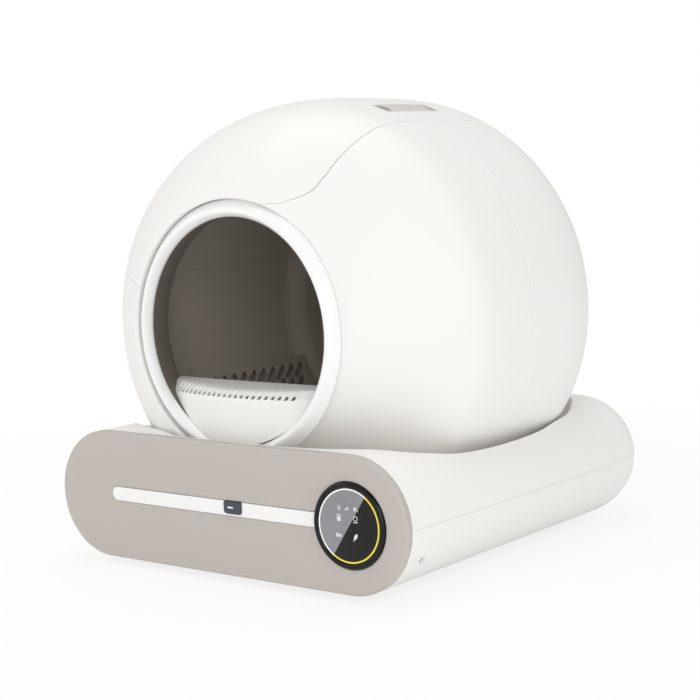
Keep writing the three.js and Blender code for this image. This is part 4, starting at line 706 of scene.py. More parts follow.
# Colour, roughness, and what else sets each moulded finish apart.
MOULDED = {
    # Satin moulded ABS: white, with a soft broad highlight.
    WHITE: ("shell", 0.48, {"cloud": 0.006}),
    # Polished tool face: the same white with a tighter, brighter highlight.
    POLISHED_WHITE: ("ring", 0.2, {"grain": 3, "grain_depth": 0.003, "cloud": 0.004}),
    # A slightly glossier white that catches the light on the comb's edges.
    GUARD_WHITE: ("guard", 0.36, {"cloud": 0.01}),
    # Warm grey with a visible grain, which keeps the wide panel from looking flat.
    TAUPE: ("panel", 0.4, {"grain": 1.4, "grain_depth": 0.012, "cloud": 0.015}),
    # Pale grey satin that sets the handle off from the white lid.
    HANDLE_GREY: ("handle", 0.42, {}),
    # Polypropylene: softer and a little waxy, so its highlight is wide and weak.
    DRUM_GREY: ("drum", 0.46, POLYPROPYLENE),
    # The same polypropylene, darkened in the neck as painted shade inside the entrance.
    NECK_SHADED_GREY: ("#776F67", 0.46, POLYPROPYLENE),
    # Dark filled nylon that lets the inner fittings fall back into shadow; in the handle's finger
    # room it is painted shade.
    DARK: ("#3B3937", 0.5, {}),
    # Deep gloss: a black rim with one crisp highlight.
    BLACK: ("#0C0B0C", 0.07, {"grain": 8, "grain_depth": 0.002, "specular": 0.3, "ior": 1.49}),
    # Polished slate: the one dark, sharp highlight on the strip.
    SLATE: ("button", 0.25, {}),
    # Pale ink that reads as flat print on the glossy lens.
    INK: ("icon", 0.4, {}),
    # Creamy gear plastic with a low sheen.
    GEAR_WHITE: ("#E6E2D6", 0.38, {}),
    # Dead matt black that takes no highlight.
    RUBBER: ("#222222", 0.8, {"grain": 0.9, "grain_depth": 0.03}),
    # Green lacquer with a wet sheen over the board.
    BOARD: ("#1F5A3C", 0.3, {}),
}


def finish(name):
    """The named finish, made the first time that it is asked for."""
    if name in bpy.data.materials:
        return bpy.data.materials[name]
    colours = bpy.context.scene.litter_box_colours
    if name == STEEL:
        return ground_steel(name)
    if name == LENS:
        return smoked_lens(name)
    if name == LIGHT:
        return lit_guide(name, colours.light)
    value, roughness, options = MOULDED[name]
    value = value if value.startswith("#") else getattr(colours, value)
    return moulded_plastic(name, value, roughness, **options)


# Globe


def eased(t):
    s = np.clip(t, 0, 1)
    return s * s * (3 - 2 * s)


def blunt_radius(y):
    front, rear = GLOBE_MIDDLE - GLOBE_FRONT, GLOBE_REAR - GLOBE_MIDDLE
    share = np.where(y < GLOBE_MIDDLE, (GLOBE_MIDDLE - y) / front, (y - GLOBE_MIDDLE) / rear)
    return GLOBE_RADIUS * (1 - np.clip(share, 0, 1) ** GLOBE_BLUNTNESS) ** (1 / GLOBE_BLUNTNESS)


def valley_rise(y):
    share = np.clip((y - VALLEY_START_Y) / (COVER_SPLIT_Y - VALLEY_START_Y), 0, 1)
    slow, steep = VALLEY_CURVE
    return 1 - (1 - share**slow) ** steep


def valley_share(angle):
    turn = np.mod(angle, 360)
    deeper, shallower = (eased((turn - a) / (b - a)) for a, b in (VALLEY_DEEPENS, VALLEY_FADES))
    return deeper * (1 - shallower)


BLUNT_START = GLOBE_MIDDLE - (GLOBE_MIDDLE - GLOBE_FRONT) * (
    1 - (MOUTH_BORE_RADIUS / GLOBE_RADIUS) ** GLOBE_BLUNTNESS
) ** (1 / GLOBE_BLUNTNESS)


def globe_start(angle):
    """Where the skin leaves the mouth, at each angle clockwise from the top."""
    return BLUNT_START + (VALLEY_START_Y - BLUNT_START) * valley_share(angle)


def globe_radius(angle, y):
    start = globe_start(angle)
    fade = np.clip(1 - (y - start) / START_FADE, 0, 1) ** 2
    blunt = blunt_radius(y - (start - BLUNT_START) * fade)
    rise = MOUTH_BORE_RADIUS + (GLOBE_RADIUS - MOUTH_BORE_RADIUS) * valley_rise(y)
    valley = np.where(y < start + 1, MOUTH_BORE_RADIUS, np.minimum(rise, blunt_radius(y)))
    return np.where(y < COVER_SPLIT_Y, blunt + (valley - blunt) * valley_share(angle), blunt)


def globe_point(angle, y):
    radius = globe_radius(angle, y)
    axis = RING_AXIS_Z + (GLOBE_AXIS_Z - RING_AXIS_Z) * valley_rise(y)
    turn = np.radians(angle)
    return np.stack([radius * np.sin(turn), y, axis + radius * np.cos(turn)], axis=-1)


# The lid's right edge seen from the front, as radius shares and degrees.
LID_EDGE_SHARES = (0.53, 0.57, 0.591, 0.627, 0.666, 0.746, 0.814, 0.876, 1.3)
LID_EDGE_ANGLES = (12, 21, 25.7, 29.2, 31.4, 31.1, 29.9, 29.3, 29)


def smooth_table(value, places, heights):
    """A smooth curve through a table's points."""
    places, heights = np.array(places, float), np.array(heights, float)
    slopes = np.gradient(heights, places)
    i = np.clip(np.searchsorted(places, value) - 1, 0, len(places) - 2)
    span = places[i + 1] - places[i]
    u = np.clip((value - places[i]) / span, 0, 1)
    return (
        heights[i] * (1 + 2 * u) * (1 - u) ** 2
        + heights[i + 1] * u * u * (3 - 2 * u)
        + slopes[i] * span * u * (1 - u) ** 2
        - slopes[i + 1] * span * u * u * (1 - u)
    )


def halved(low, high, is_past):
    """Where is_past turns true between low and high."""
    for _ in range(40):
        middle = (low + high) / 2
        past = is_past(middle)
        low, high = np.where(past, low, middle), np.where(past, middle, high)
    return (low + high) / 2


def lid_edge_angle(depth_at):
    """The angle of the lid's right edge, where depth_at(angle) says how far back the skin is."""

    def is_past(angle):
        p = globe_point(angle, depth_at(angle))
        x, z = p[..., 0], p[..., 2] - GLOBE_AXIS_Z
        edge = smooth_table(np.hypot(x, z) / GLOBE_RADIUS, LID_EDGE_SHARES, LID_EDGE_ANGLES)
        return np.degrees(np.arctan2(x, z)) - edge > 0

    low = np.full_like(depth_at(np.float64(20)), 8)
    return halved(low, np.full_like(low, 48), is_past)


def skin_depth(angle, radius):
    """How far back the globe's skin is where it stands at a distance from the ring's axis."""

    def is_past(y):
        p = globe_point(angle, y)
        return np.hypot(p[..., 0], p[..., 2] - RING_AXIS_Z) > radius

    return halved(globe_start(angle), globe_start(angle) + 60, is_past)


def front_share(t):
    """Rows of the skin bunch up at the mouth, where it turns most."""
    return (1 - np.cos(FRONT_SWEEP * t)) / (1 - math.cos(FRONT_SWEEP))


def edge_table(depth_at):
    """The angle of the lid's right edge as a function of how far back along the skin it is."""
    places = np.linspace(-0.01, 1.01, 409)
    angles = lid_edge_angle(lambda a: depth_at(a, places))
    return lambda t: np.interp(t, places, angles)


SEAM_ANGLE = math.degrees(LID_SEAM / GLOBE_RADIUS)
COVER_LEFT = 360 + LID_LEFT_ANGLE - SEAM_ANGLE


def cover_bottom(bm):
    return bisected(bm, DECK_TOP + SEAT_GAP, -1)


def clear_of_ring(points):
    """Keeps a skin's inner face out of the ring's room."""
    x, z = points[..., 0], points[..., 2] - RING_AXIS_Z
    room = np.where(points[..., 1] < RING_BACK_Y + 20, MOUTH_BORE_RADIUS - SEAT_GAP, 0)
    scale = np.maximum(room / np.hypot(x, z), 1)
    return np.stack([x * scale, points[..., 1], z * scale + RING_AXIS_Z], axis=-1)


def make_front_cover(edge, part_edge):
    split = COVER_SPLIT_Y - PART_LINE / 2
    round_length, back_length = math.radians(260) * 240, 330

    def depth_at(angle, t):
        start = globe_start(angle)
        return start + (split - start) * front_share(t)

    lid_edge = edge_table(depth_at)

    def surface(s, t):
        first = lid_edge(t) + SEAM_ANGLE
        angle = first + (COVER_LEFT - first) * s
        return globe_point(angle, depth_at(angle, t))

    s = lines(200, round_length, edge, edge)
    t = lines(64, back_length, 0, part_edge)
    grid_s, grid_t = np.meshgrid(s, t, indexing="ij")
    near = np.minimum(grid_s, 1 - grid_s) * round_length
    at_part = edge_depth((1 - grid_t) * back_length, part_edge)
    points = surface(grid_s, grid_t)
    turn = np.degrees(np.arctan2(points[..., 0], points[..., 2] - RING_AXIS_Z))
    roll = np.maximum(MOUTH_ROLL * (1 - valley_share(turn)), 0.01)
    at_mouth = edge_depth(run_from_start(points), roll)
    depth = np.maximum(np.maximum(edge_depth(near, edge), at_part), at_mouth)
    return cover_bottom(skin_body(surface, s, t, GLOBE_WALL, depth, fit=clear_of_ring))


def make_mouth_wall():
    """The wall that turns in from the globe's mouth, with the flange that the ring seats on."""
    behind_skin, behind_ring, under_skin, thinnest = 0.6, 1.3, 0.4, 0.3
    rings = []
    flange_front = RING_BACK_Y + SEAT_GAP
    flange_back = flange_front + MOUTH_FLANGE_THICKNESS
    flange_radius = MOUTH_BORE_RADIUS - MOUTH_FLANGE
    for angle in np.linspace(0, 360, 256, endpoint=False):
        share = float(valley_share(angle))
        front = (globe_start(angle) + GLOBE_WALL + behind_skin) * (1 - share)
        front += (flange_front + behind_ring) * share
        skin = globe_radius(angle, np.array([front, flange_back])) - under_skin
        outer = np.clip(skin, MOUTH_BORE_RADIUS + thinnest, MOUTH_BORE_RADIUS + MOUTH_WALL)
        profile = [
            (MOUTH_BORE_RADIUS, front),
            (outer[0], front),
            (outer[1], flange_back),
            (flange_radius, flange_back),
            (flange_radius, flange_front),
            (MOUTH_BORE_RADIUS, flange_front),
        ]
        side, up = math.sin(math.radians(angle)), math.cos(math.radians(angle))
        rings.append([(r * side, y, RING_AXIS_Z + r * up) for r, y in profile])
    return ring_body(rings)


def make_top_lid(edge):
    across, along = math.radians(100) * 240, 520
    turns = np.linspace(LID_LEFT_ANGLE - 2, 60, 270)
    starts = skin_depth(turns, MOUTH_BORE_RADIUS + 0.3)

    def depth_at(angle, t):
        start = np.interp(angle, turns, starts)
        return start + (LID_REAR_Y - start) * front_share(t * 0.9) / front_share(0.9)

    lid_edge = edge_table(depth_at)

    def surface(s, t):
        angle = LID_LEFT_ANGLE + (lid_edge(t) - LID_LEFT_ANGLE) * s
        return globe_point(angle, depth_at(angle, t))

    s = lines(96, across, edge, edge)
    t = lines(110, along, edge, edge)
    grid_s, grid_t = np.meshgrid(s, t, indexing="ij")
    near_side = np.minimum(grid_s, 1 - grid_s) * across
    depth = np.maximum(edge_depth(near_side, edge), edge_depth((1 - grid_t) * along, edge))
    at_mouth = edge_depth(run_from_start(surface(grid_s, grid_t)), MOUTH_ROLL)
    return skin_body(surface, s, t, GLOBE_WALL, np.maximum(depth, at_mouth))


def make_rear_cover(edge, part_edge):
    split = COVER_SPLIT_Y + PART_LINE / 2
    lid_end = LID_REAR_Y + LID_SEAM
    first = float(lid_edge_angle(lambda a: np.full_like(a * 1.0, 360.0))) + SEAM_ANGLE
    left = COVER_LEFT
    wide = lines(190, math.radians(left - first) * GLOBE_RADIUS, edge, edge)
    lid_part = np.linspace(0, 1, 90)[1:-1]
    angles = np.concatenate([first + (left - first) * wide, left + (first + 360 - left) * lid_part])
    along = split + (lid_end - split) * lines(40, lid_end - split, part_edge, 0)
    near_end = lid_end + edge * np.array([*ROLL_STEPS[1:], 1.0])
    # The rows stop just short of the globe's rear pole, which one face closes.
    reach = (GLOBE_REAR - near_end[-1]) * 0.985
    rear = near_end[-1] + reach * np.sin(np.linspace(0, math.pi / 2, 26)[1:])
    ys = np.concatenate([along, near_end, rear])
    rows, cols = len(angles), len(ys)

    far = edge * 2
    grid_a, grid_y = np.meshgrid(angles, ys, indexing="ij")
    from_side = np.minimum(np.abs(grid_a - first), np.abs(grid_a - left))
    at_side = np.where(grid_y <= lid_end + 1e-6, from_side * math.radians(1) * GLOBE_RADIUS, far)
    behind_lid = (grid_a > left - 1e-6) | (grid_a < first + 1e-6)
    at_end = np.where(behind_lid, np.clip(grid_y - lid_end, 0, None), far)
    depth = np.maximum(edge_depth(at_side, edge), edge_depth(at_end, edge))
    depth = np.maximum(depth, edge_depth(grid_y - split, part_edge))
    keep = np.ones((rows, cols - 1), bool)
    keep[len(wide) - 1 :, : len(along)] = False
    return cover_bottom(skin_body(globe_point, angles, ys, GLOBE_WALL, depth, keep, wrap=True))


def on_handle(a, b, c):
    """From the handle's own place: a across it, b along it and c out of the lid."""
    reach, side, up = GLOBE_RADIUS + c, math.sin(HANDLE_TURN), math.cos(HANDLE_TURN)
    return (reach * side + a * up, COVER_SPLIT_Y + b, GLOBE_AXIS_Z + reach * up - a * side)


def lid_level(plan):
    """How high the lid's skin stands at places on the handle."""
    angle = math.degrees(HANDLE_TURN) + np.degrees(np.arctan2(plan[:, 0], GLOBE_RADIUS))
    radius = globe_radius(angle, COVER_SPLIT_Y + plan[:, 1])
    return np.sqrt(radius**2 - plan[:, 0] ** 2) - GLOBE_RADIUS


def handle_outline(grow):
    wide, long = HANDLE_HALF_WIDTH + grow, HANDLE_HALF_LENGTH + grow
    return resampled(rounded_box(-wide, wide, -long, long, HANDLE_CORNER + grow), 4)


def make_handle():
    """A tub let into the lid with a domed finger plate, and a flange under the skin."""
    edge, dome = 0.9, 0.9
    outline, inset = handle_outline(-SEAT_GAP), handle_outline(-SEAT_GAP - edge)
    flange = handle_outline(HANDLE_FLANGE - SEAT_GAP)
    reach = HANDLE_HALF_LENGTH - HANDLE_HALF_WIDTH
    spine = np.column_stack([np.zeros(len(outline)), np.clip(outline[:, 1], -reach, reach)])
    top = GLOBE_WALL + SEAT_GAP
    under = top + HANDLE_WALL
    levels = []
    for k in np.linspace(0, 1, 9):
        plan = spine + (inset - spine) * k
        levels.append((plan, lid_level(plan) + dome * (1 - k * k)))
    for a in np.linspace(0, math.pi / 2, 6)[1:]:
        plan = handle_outline(-SEAT_GAP - edge * (1 - math.sin(a)))
        levels.append((plan, lid_level(plan) - edge * (1 - math.cos(a))))
    below = ((outline, top), (flange, top), (flange, under), (outline, under))
    levels += [(plan, lid_level(plan) - drop) for plan, drop in below]
    flat = ((outline, edge), (inset, 0), (spine, 0))
    levels += [(plan, np.full(len(plan), -HANDLE_DEPTH + rise)) for plan, rise in flat]
    rings = [[on_handle(a, b, c) for (a, b), c in zip(plan, level)] for plan, level in levels]
    return ring_body(rings, wrap=False)


FINGER_WIDE = HANDLE_HALF_WIDTH - SEAT_GAP - HANDLE_WALL
FINGER_LONG = HANDLE_HALF_LENGTH - SEAT_GAP - HANDLE_WALL


def handle_cutters():
    """The finger room inside the tub, and the opening at each end of its plate."""
    room = rounded_box(-FINGER_WIDE, FINGER_WIDE, -FINGER_LONG, FINGER_LONG, 2)
    made = [prism(room, -HANDLE_DEPTH + HANDLE_WALL, -PLATE_UNDERSIDE, on_handle)]
    wide, half = FINGER_WIDE - 0.2, HANDLE_SLOT / 2
    turns = np.linspace(0, 2 * math.pi, 48, endpoint=False)
    for side in (-1, 1):
        middle = side * (FINGER_LONG - 0.5 - half)
        slot = [(wide * math.cos(a), middle + half * math.sin(a)) for a in turns]
        made.append(prism(slot, -10, 6, on_handle))
    return made


def paint_finger_room_shade(tub):
    """Paints the tub's finger room, below the plate, with the dark finish as painted shade for its
    hollow.
    """
    slack, lowest, highest = 0.1, 1 - HANDLE_DEPTH, -4
    tub.data.materials.append(finish(DARK))
    for face in tub.data.polygons:
        x, y, z = np.array(face.center) / MM - SHIFT
        z -= GLOBE_AXIS_Z
        a = x * math.cos(HANDLE_TURN) - z * math.sin(HANDLE_TURN)
        c = x * math.sin(HANDLE_TURN) + z * math.cos(HANDLE_TURN) - GLOBE_RADIUS
        inside = abs(a) < FINGER_WIDE + slack and abs(y - COVER_SPLIT_Y) < FINGER_LONG + slack
        # Painted shade: faces inside the finger room take the dark finish.
        if inside and lowest < c < highest:
            face.material_index = 1


def hinge_place(out, side):
    """A place about the hinge line: out of the skin, and to the lid's side of the seam."""
    along, up = math.sin(math.radians(LID_LEFT_ANGLE)), math.cos(math.radians(LID_LEFT_ANGLE))
    return (HINGE_X + along * out + up * side, HINGE_Z + up * out - along * side)


def make_knuckle(start, end, side):
    """A hinge barrel and the web that ties it to the skin beside it."""
    corners = [(radius, y) for y in (start, end) for radius in (HINGE_BORE, HINGE_RADIUS)]
    barrel = softened([corners[0], corners[1], corners[3], corners[2]], 0.4, 3)
    skin = -HINGE_STANDOFF - GLOBE_WALL
    places = ((0.5, 3.6), (skin + GLOBE_WALL / 2, 6), (skin, 2.25), (-2.9, 1.6))
    web = [hinge_place(out, side * across) for out, across in places]
    ends = (start + 0.5, end - 0.5)
    return [turned(barrel, 48, HINGE_X, HINGE_Z), prism(web, *ends, facing_front)]


def hinge_room(start, end, gap):
    """The clear room round another part's knuckle."""
    ring = round_hole(HINGE_X, HINGE_Z, HINGE_ROOM)
    return prism(ring, start - gap, end + gap, facing_front)


class BuildGlobe(bpy.types.Operator):
    """Builds the fixed globe's two covers, with a drawn in valley round the entrance"""

    bl_idname = "litter_box.globe"
    bl_label = "Globe covers"

    def execute(self, context):
        sizes = context.scene.litter_box_sizes
        edges = sizes.seam_edge / MM, sizes.part_edge / MM
        add_piece(make_front_cover(*edges), "front_cover_skin", "front_cover", WHITE)
        add_piece(make_mouth_wall(), "front_cover_mouth", "front_cover", WHITE)
        skin = add_piece(make_rear_cover(*edges), "rear_cover_skin", "rear_cover", WHITE)
        carve(skin, [hinge_room(*LID_KNUCKLE, HINGE_GAP / 2)])
        knuckles = merged([b for span in COVER_KNUCKLES for b in make_knuckle(*span, -1)])
        add_piece(knuckles, "rear_cover_knuckles", "rear_cover", WHITE, weld=0)
        return {"FINISHED"}


class BuildLid(bpy.types.Operator):
    """Builds the hinged top lid with its handle"""

    bl_idname = "litter_box.lid"
    bl_label = "Top lid"

    def execute(self, context):
        edge = context.scene.litter_box_sizes.seam_edge / MM
        lid = add_piece(make_top_lid(edge), "top_lid_skin", "top_lid", WHITE, "lid")
        opening = prism(handle_outline(0), -HANDLE_DEPTH, 6, on_handle)
        carve(lid, [opening, *(hinge_room(*span, HINGE_GAP) for span in COVER_KNUCKLES)])
        knuckle = merged(make_knuckle(*LID_KNUCKLE, 1))
        add_piece(knuckle, "top_lid_knuckle", "top_lid", WHITE, "lid", weld=0)
        tub = add_piece(make_handle(), "lid_handle_tub", "lid_handle", HANDLE_GREY, "lid")
        carve(tub, handle_cutters())
        # The finger room is coloured dark as painted shade.
        paint_finger_room_shade(tub)
        return {"FINISHED"}


# Entrance


def neck_radius(y):
    return RING_MOUTH_RADIUS + NECK_FLARE * (y - NECK_FRONT_Y) / (NECK_BACK_Y - NECK_FRONT_Y)


def make_ring():
    """A full round bead with a thin lip, and a spigot that goes into the globe's mouth."""
    mouth = np.array([RING_MOUTH_RADIUS, RING_MOUTH_Y])
    peak = np.array([RING_MOUTH_RADIUS + RING_PEAK_STEP, RING_PEAK_Y])
    lip = np.array([RING_LIP_RADIUS, RING_LIP_Y])
    t = np.linspace(0, 1, 33)[:, None]
    near, pull, far = (1 - t) ** 2, 2 * RING_FULLNESS * t * (1 - t), t**2
    bead = (near * mouth + pull * peak + far * lip) / (near + pull + far)
    spigot_end = RING_BACK_Y + RING_SPIGOT_LENGTH
    front = NECK_FRONT_Y - SEAT_GAP
    profile = [
        *bead,
        (RING_LIP_RADIUS, RING_BACK_Y),
        (SPIGOT_RADIUS, RING_BACK_Y),
        (SPIGOT_RADIUS, spigot_end),
        (neck_radius(spigot_end) + NECK_WALL + SEAT_GAP, spigot_end),
        (neck_radius(NECK_FRONT_Y) + NECK_WALL + SEAT_GAP, front),
        (RING_MOUTH_RADIUS, front),
    ]
    return turned(profile, 192, 0, RING_AXIS_Z)


def make_collar():
    front, back = neck_radius(NECK_FRONT_Y), neck_radius(NECK_BACK_Y)
    collar = [
        (front, NECK_FRONT_Y),
        (front + NECK_WALL, NECK_FRONT_Y),
        (back + NECK_WALL, NECK_BACK_Y),
        (back, NECK_BACK_Y),
    ]
    return turned(softened(collar, 0.9), 160, 0, RING_AXIS_Z)


def make_guard(slot_width):
    """A bowed sill: its face, a bevel with a comb of slots, and a plate that climbs inwards."""
    bow_radius = (GUARD_HALF_CHORD**2 + GUARD_BOW**2) / (2 * GUARD_BOW)
    sill = GUARD_FRONT_TOP - GUARD_BEVEL
    slope = GUARD_RISE / (GUARD_REAR_Y - GUARD_FRONT_Y)
    foot = RING_AXIS_Z - RING_MOUTH_RADIUS + 3
    face_bend, plate_bend = 2.5, 3.0

    def along(a, b, share):
        return a + (b - a) * share

    def toward(a, b, reach):
        return along(a, b, reach / np.hypot(*(b - a)))

    def bend(a, b, c, u):
        return a * (1 - u) ** 2 + 2 * b * u * (1 - u) + c * u**2

    def profile(x, t):
        """Depth and height at a distance x from the middle; t runs from the foot to the rear."""
        sag = bow_radius - np.sqrt(bow_radius**2 - np.minimum(np.abs(x), bow_radius * 0.9) ** 2)
        front = GUARD_FRONT_Y + sag
        climb = (GUARD_BEVEL + slope * sag) / (1 - slope)
        places = (
            (front, foot),
            (front, sill),
            (front + climb, sill + climb),
            (GUARD_REAR_Y, GUARD_FRONT_TOP + GUARD_RISE),
        )
        low, face, plate, rear = (np.stack([y + 0 * front, z + 0 * front]) for y, z in places)
        face_start, face_end = toward(face, low, face_bend), toward(face, plate, face_bend)
        plate_start, plate_end = toward(plate, face, plate_bend), toward(plate, rear, plate_bend)
        u = [np.clip(t - k, 0, 1) for k in range(5)]
        pieces = [
            along(low, face_start, u[0]),
            bend(face_start, face, face_end, u[1]),
            along(face_end, plate_start, u[2]),
            bend(plate_start, plate, plate_end, u[3]),
            along(plate_end, rear, u[4]),
        ]
        which = np.clip(np.floor(t), 0, 4)
        return np.select([which == i for i in range(5)], pieces)

    def half_width(t):
        """Where the sill meets the ring's bore or the neck, at each t."""
        x = np.full_like(t, GUARD_HALF_CHORD)
        for _ in range(30):
            y, z = profile(x, t)
            room = neck_radius(np.clip(y, NECK_FRONT_Y, NECK_BACK_Y)) - SEAT_GAP
            x = np.sqrt(np.maximum(room**2 - (z - RING_AXIS_Z) ** 2, 1))
        return x

    comb_half = GUARD_STEADY * float(half_width(np.array([2.0]))[0])
    counts = (14, 5, 4, 6, 10)
    t = [np.linspace(k, k + 1, count, endpoint=False) for k, count in enumerate(counts)]
    t = np.concatenate([*t, [5.0]])
    widths = half_width(t)

    def surface(s, u):
        """The comb's lines stay straight up to its ends, and the rest is drawn to the edge."""
        wide = np.interp(u, t, widths)
        core = np.minimum(comb_half, GUARD_STEADY * wide)
        out = np.abs(s)
        x = np.where(out <= 1, out * core, core + (out - 1) * (wide - core)) * np.sign(s)
        return np.stack([x, *profile(x, u)], axis=-1)

    half_slot = slot_width / 2
    slots = COMB_START + COMB_PITCH * np.arange(COMB_COUNT)
    rolls = np.array([0, 0.12, 0.4, 1.0]) * COMB_EDGE
    lines_x = list(np.linspace(slots[-1] + 6, comb_half, 5))
    for place in slots:
        lines_x += [place - half_slot + 0.45, place, place + half_slot - 0.45]
        for side in (-1, 1):
            lines_x += list(place + side * half_slot + side * rolls)
    inside = np.array(sorted(x for x in lines_x if abs(x) <= comb_half)) / comb_half
    ends = 1 + np.array([0.35, 0.6, 0.78, 0.9, 0.97, 1.0])
    s = np.concatenate([-ends[::-1], [-1], inside[np.abs(inside) < 0.999], [1], ends])
    grid_s, grid_t = np.meshgrid(s, t, indexing="ij")
    points = surface(grid_s, grid_t)
    low_t, hole_t, high_t = 1.5, 2.5, 4.12
    middle_s, middle_t = (s[:-1] + s[1:]) / 2 * comb_half, (t[:-1] + t[1:]) / 2
    in_slot = np.any(np.abs(middle_s[:, None] - slots[None, :]) < half_slot, axis=1)
    in_band = (middle_t > low_t) & (middle_t < hole_t)
    keep = ~(in_slot[:, None] & in_band[None, :])
    x = points[..., 0]
    from_slots = np.abs(x[..., None] - slots)
    to_slot = np.min(np.abs(from_slots - half_slot), axis=-1)
    beside = (grid_t > low_t - 0.2) & (grid_t < high_t + 0.1)
    groove_shape = np.array([0, 1, 1, 0.7 / GROOVE_DEPTH, 0]) * GROOVE_DEPTH
    groove = np.interp(grid_t, [hole_t - 0.01, hole_t, 4, 4.1, 4.2], groove_shape)
    in_groove = np.any(from_slots < half_slot - 0.2, axis=-1)
    depth = edge_depth(np.where(beside, to_slot, COMB_EDGE), COMB_EDGE)
    depth = np.maximum(depth, np.where(in_groove, groove, 0))
    depth = np.maximum(depth, edge_depth(np.interp(grid_t, t, widths) - np.abs(x), 0.8))
    depth = np.maximum(depth, edge_depth(GUARD_REAR_Y - points[..., 1], 1.0))
    return skin_body(surface, s, t, GUARD_WALL, depth, keep)


class BuildEntry(bpy.types.Operator):
    """Builds the entry ring, the neck behind it and the litter guard"""

    bl_idname = "litter_box.entry"
    bl_label = "Entry ring and guard"

    def execute(self, context):
        add_piece(make_ring(), "entry_ring_bead", "entry_ring", POLISHED_WHITE)
        # The neck's darker grey is painted shade.
        add_piece(make_collar(), "neck_collar_skin", "neck_collar", NECK_SHADED_GREY)
        guard = make_guard(context.scene.litter_box_sizes.comb_slot / MM)
        add_piece(guard, "litter_guard_sill", "litter_guard", GUARD_WHITE)
        return {"FINISHED"}


# Drum


def drum_profile(sink):
    shoulder, end = 12, 16
    at = [(DRUM_MOUTH_RADIUS + DRUM_WALL - sink, DRUM_MOUTH_Y)]
    for k in range(1, shoulder + 1):
        turn = math.pi / 2 * k / shoulder
        r = DRUM_MOUTH_RADIUS + (DRUM_RADIUS - DRUM_MOUTH_RADIUS) * math.sin(turn)
        y = DRUM_SHOULDER_Y - (DRUM_SHOULDER_Y - DRUM_MOUTH_Y) * math.cos(turn)
        at.append((r - sink, y + DRUM_WALL))
    at += [
        (DRUM_RADIUS - sink, DRUM_BARREL_END),
        (GEAR_SEAT_RADIUS - sink, GEAR_SEAT_Y),
        (GEAR_SEAT_RADIUS - sink, GEAR_SEAT_END_Y),
    ]
    for k in range(1, end):
        turn = math.pi / 2 * k / end
        y = GEAR_SEAT_END_Y + (DRUM_BACK_Y - GEAR_SEAT_END_Y - sink) * math.sin(turn)
        at.append((GEAR_SEAT_RADIUS * math.cos(turn) - sink * (k < end - 1), y))
    return at


def make_drum_shell():
    wide, narrow = DRUM_RADIUS - DRUM_WALL, GEAR_SEAT_RADIUS - DRUM_WALL
    run = DRUM_STEP_END - DRUM_STEP_START
    shares = np.linspace(0, 1, 13)
    step = [(wide + (narrow - wide) * eased(k), DRUM_STEP_START + run * k) for k in shares]
    inner = drum_profile(DRUM_WALL)
    before = [p for p in inner if p[1] < DRUM_STEP_START]
    after = [p for p in inner if p[1] > DRUM_STEP_END]
    tip = 0.5
    back = [(tip, DRUM_BACK_Y), (tip, DRUM_BACK_Y - DRUM_WALL)]
    profile = [*drum_profile(0), *back, *reversed(before + step + after)]
    return turned(profile, 160, 0, RING_AXIS_Z)


def left_of_down(radius, angle):
    """A place about the drum's axis, at an angle left of straight down."""
    turn = math.radians(angle)
    return (-radius * math.sin(turn), RING_AXIS_Z - radius * math.cos(turn))


def make_sieve():
    """A curved plate inside the drum's wall, with a flange along each edge."""
    inside, wall = SIEVE_RADIUS - SIEVE_WALL, DRUM_RADIUS - DRUM_WALL - SEAT_GAP
    rim = math.degrees(SIEVE_WALL / SIEVE_RADIUS)
    top, low = SIEVE_TOP_ANGLE, SIEVE_LOW_ANGLE
    outline = [left_of_down(inside, a) for a in np.linspace(top, low, 41)]
    outline += [left_of_down(wall, low), left_of_down(wall, low + rim)]
    outline += [left_of_down(SIEVE_RADIUS, a) for a in np.linspace(low + rim, top - rim, 39)]
    outline += [left_of_down(wall, top - rim), left_of_down(wall, top)]
    return prism(softened(outline, 0.5, 3), SIEVE_FRONT, SIEVE_REAR, facing_front, 0.4)


def sieve_slot(angle, y):
    """A slot's cutter, leaning from low front to high rear about its middle."""
    half = SIEVE_SLOT_WIDTH / 2
    rise = math.radians(SIEVE_SLOT_HIGH - SIEVE_SLOT_LOW) * SIEVE_MIDDLE
    lean = math.degrees(math.atan2(rise, SIEVE_SLOT_LEAN))
    shape = [
        *arc(SIEVE_SLOT_LEAN / 2, rise / 2, half, lean - 90, lean + 90, 10),
        *arc(-SIEVE_SLOT_LEAN / 2, -rise / 2, half, lean + 90, lean + 270, 10),
    ]
    side, up = math.sin(math.radians(angle)), math.cos(math.radians(angle))

    def on_wall(a, b, c):
        reach = SIEVE_MIDDLE + c
        return (-reach * side - b * up, y + a, RING_AXIS_Z - reach * up + b * side)

    return prism(shape, -5, 5, on_wall)


def sieve_rows():
    """One cutter for each staggered row of slots."""
    margin = SIEVE_SLOT_LEAN / 2 + SIEVE_SLOT_WIDTH / 2 + SIEVE_MARGIN
    rows = []
    for row in range(SIEVE_ROWS):
        angle = (SIEVE_SLOT_LOW + SIEVE_SLOT_HIGH) / 2 - SIEVE_ROW_STEP * row
        y = SIEVE_LAST_SLOT - SIEVE_ROW_SHIFT * row
        while y + SIEVE_PITCH < SIEVE_REAR - margin:
            y += SIEVE_PITCH
        slots = []
        while y > SIEVE_FRONT + margin:
            slots.append(sieve_slot(angle, y))
            y -= SIEVE_PITCH
        rows.append(merged(slots))
    return rows


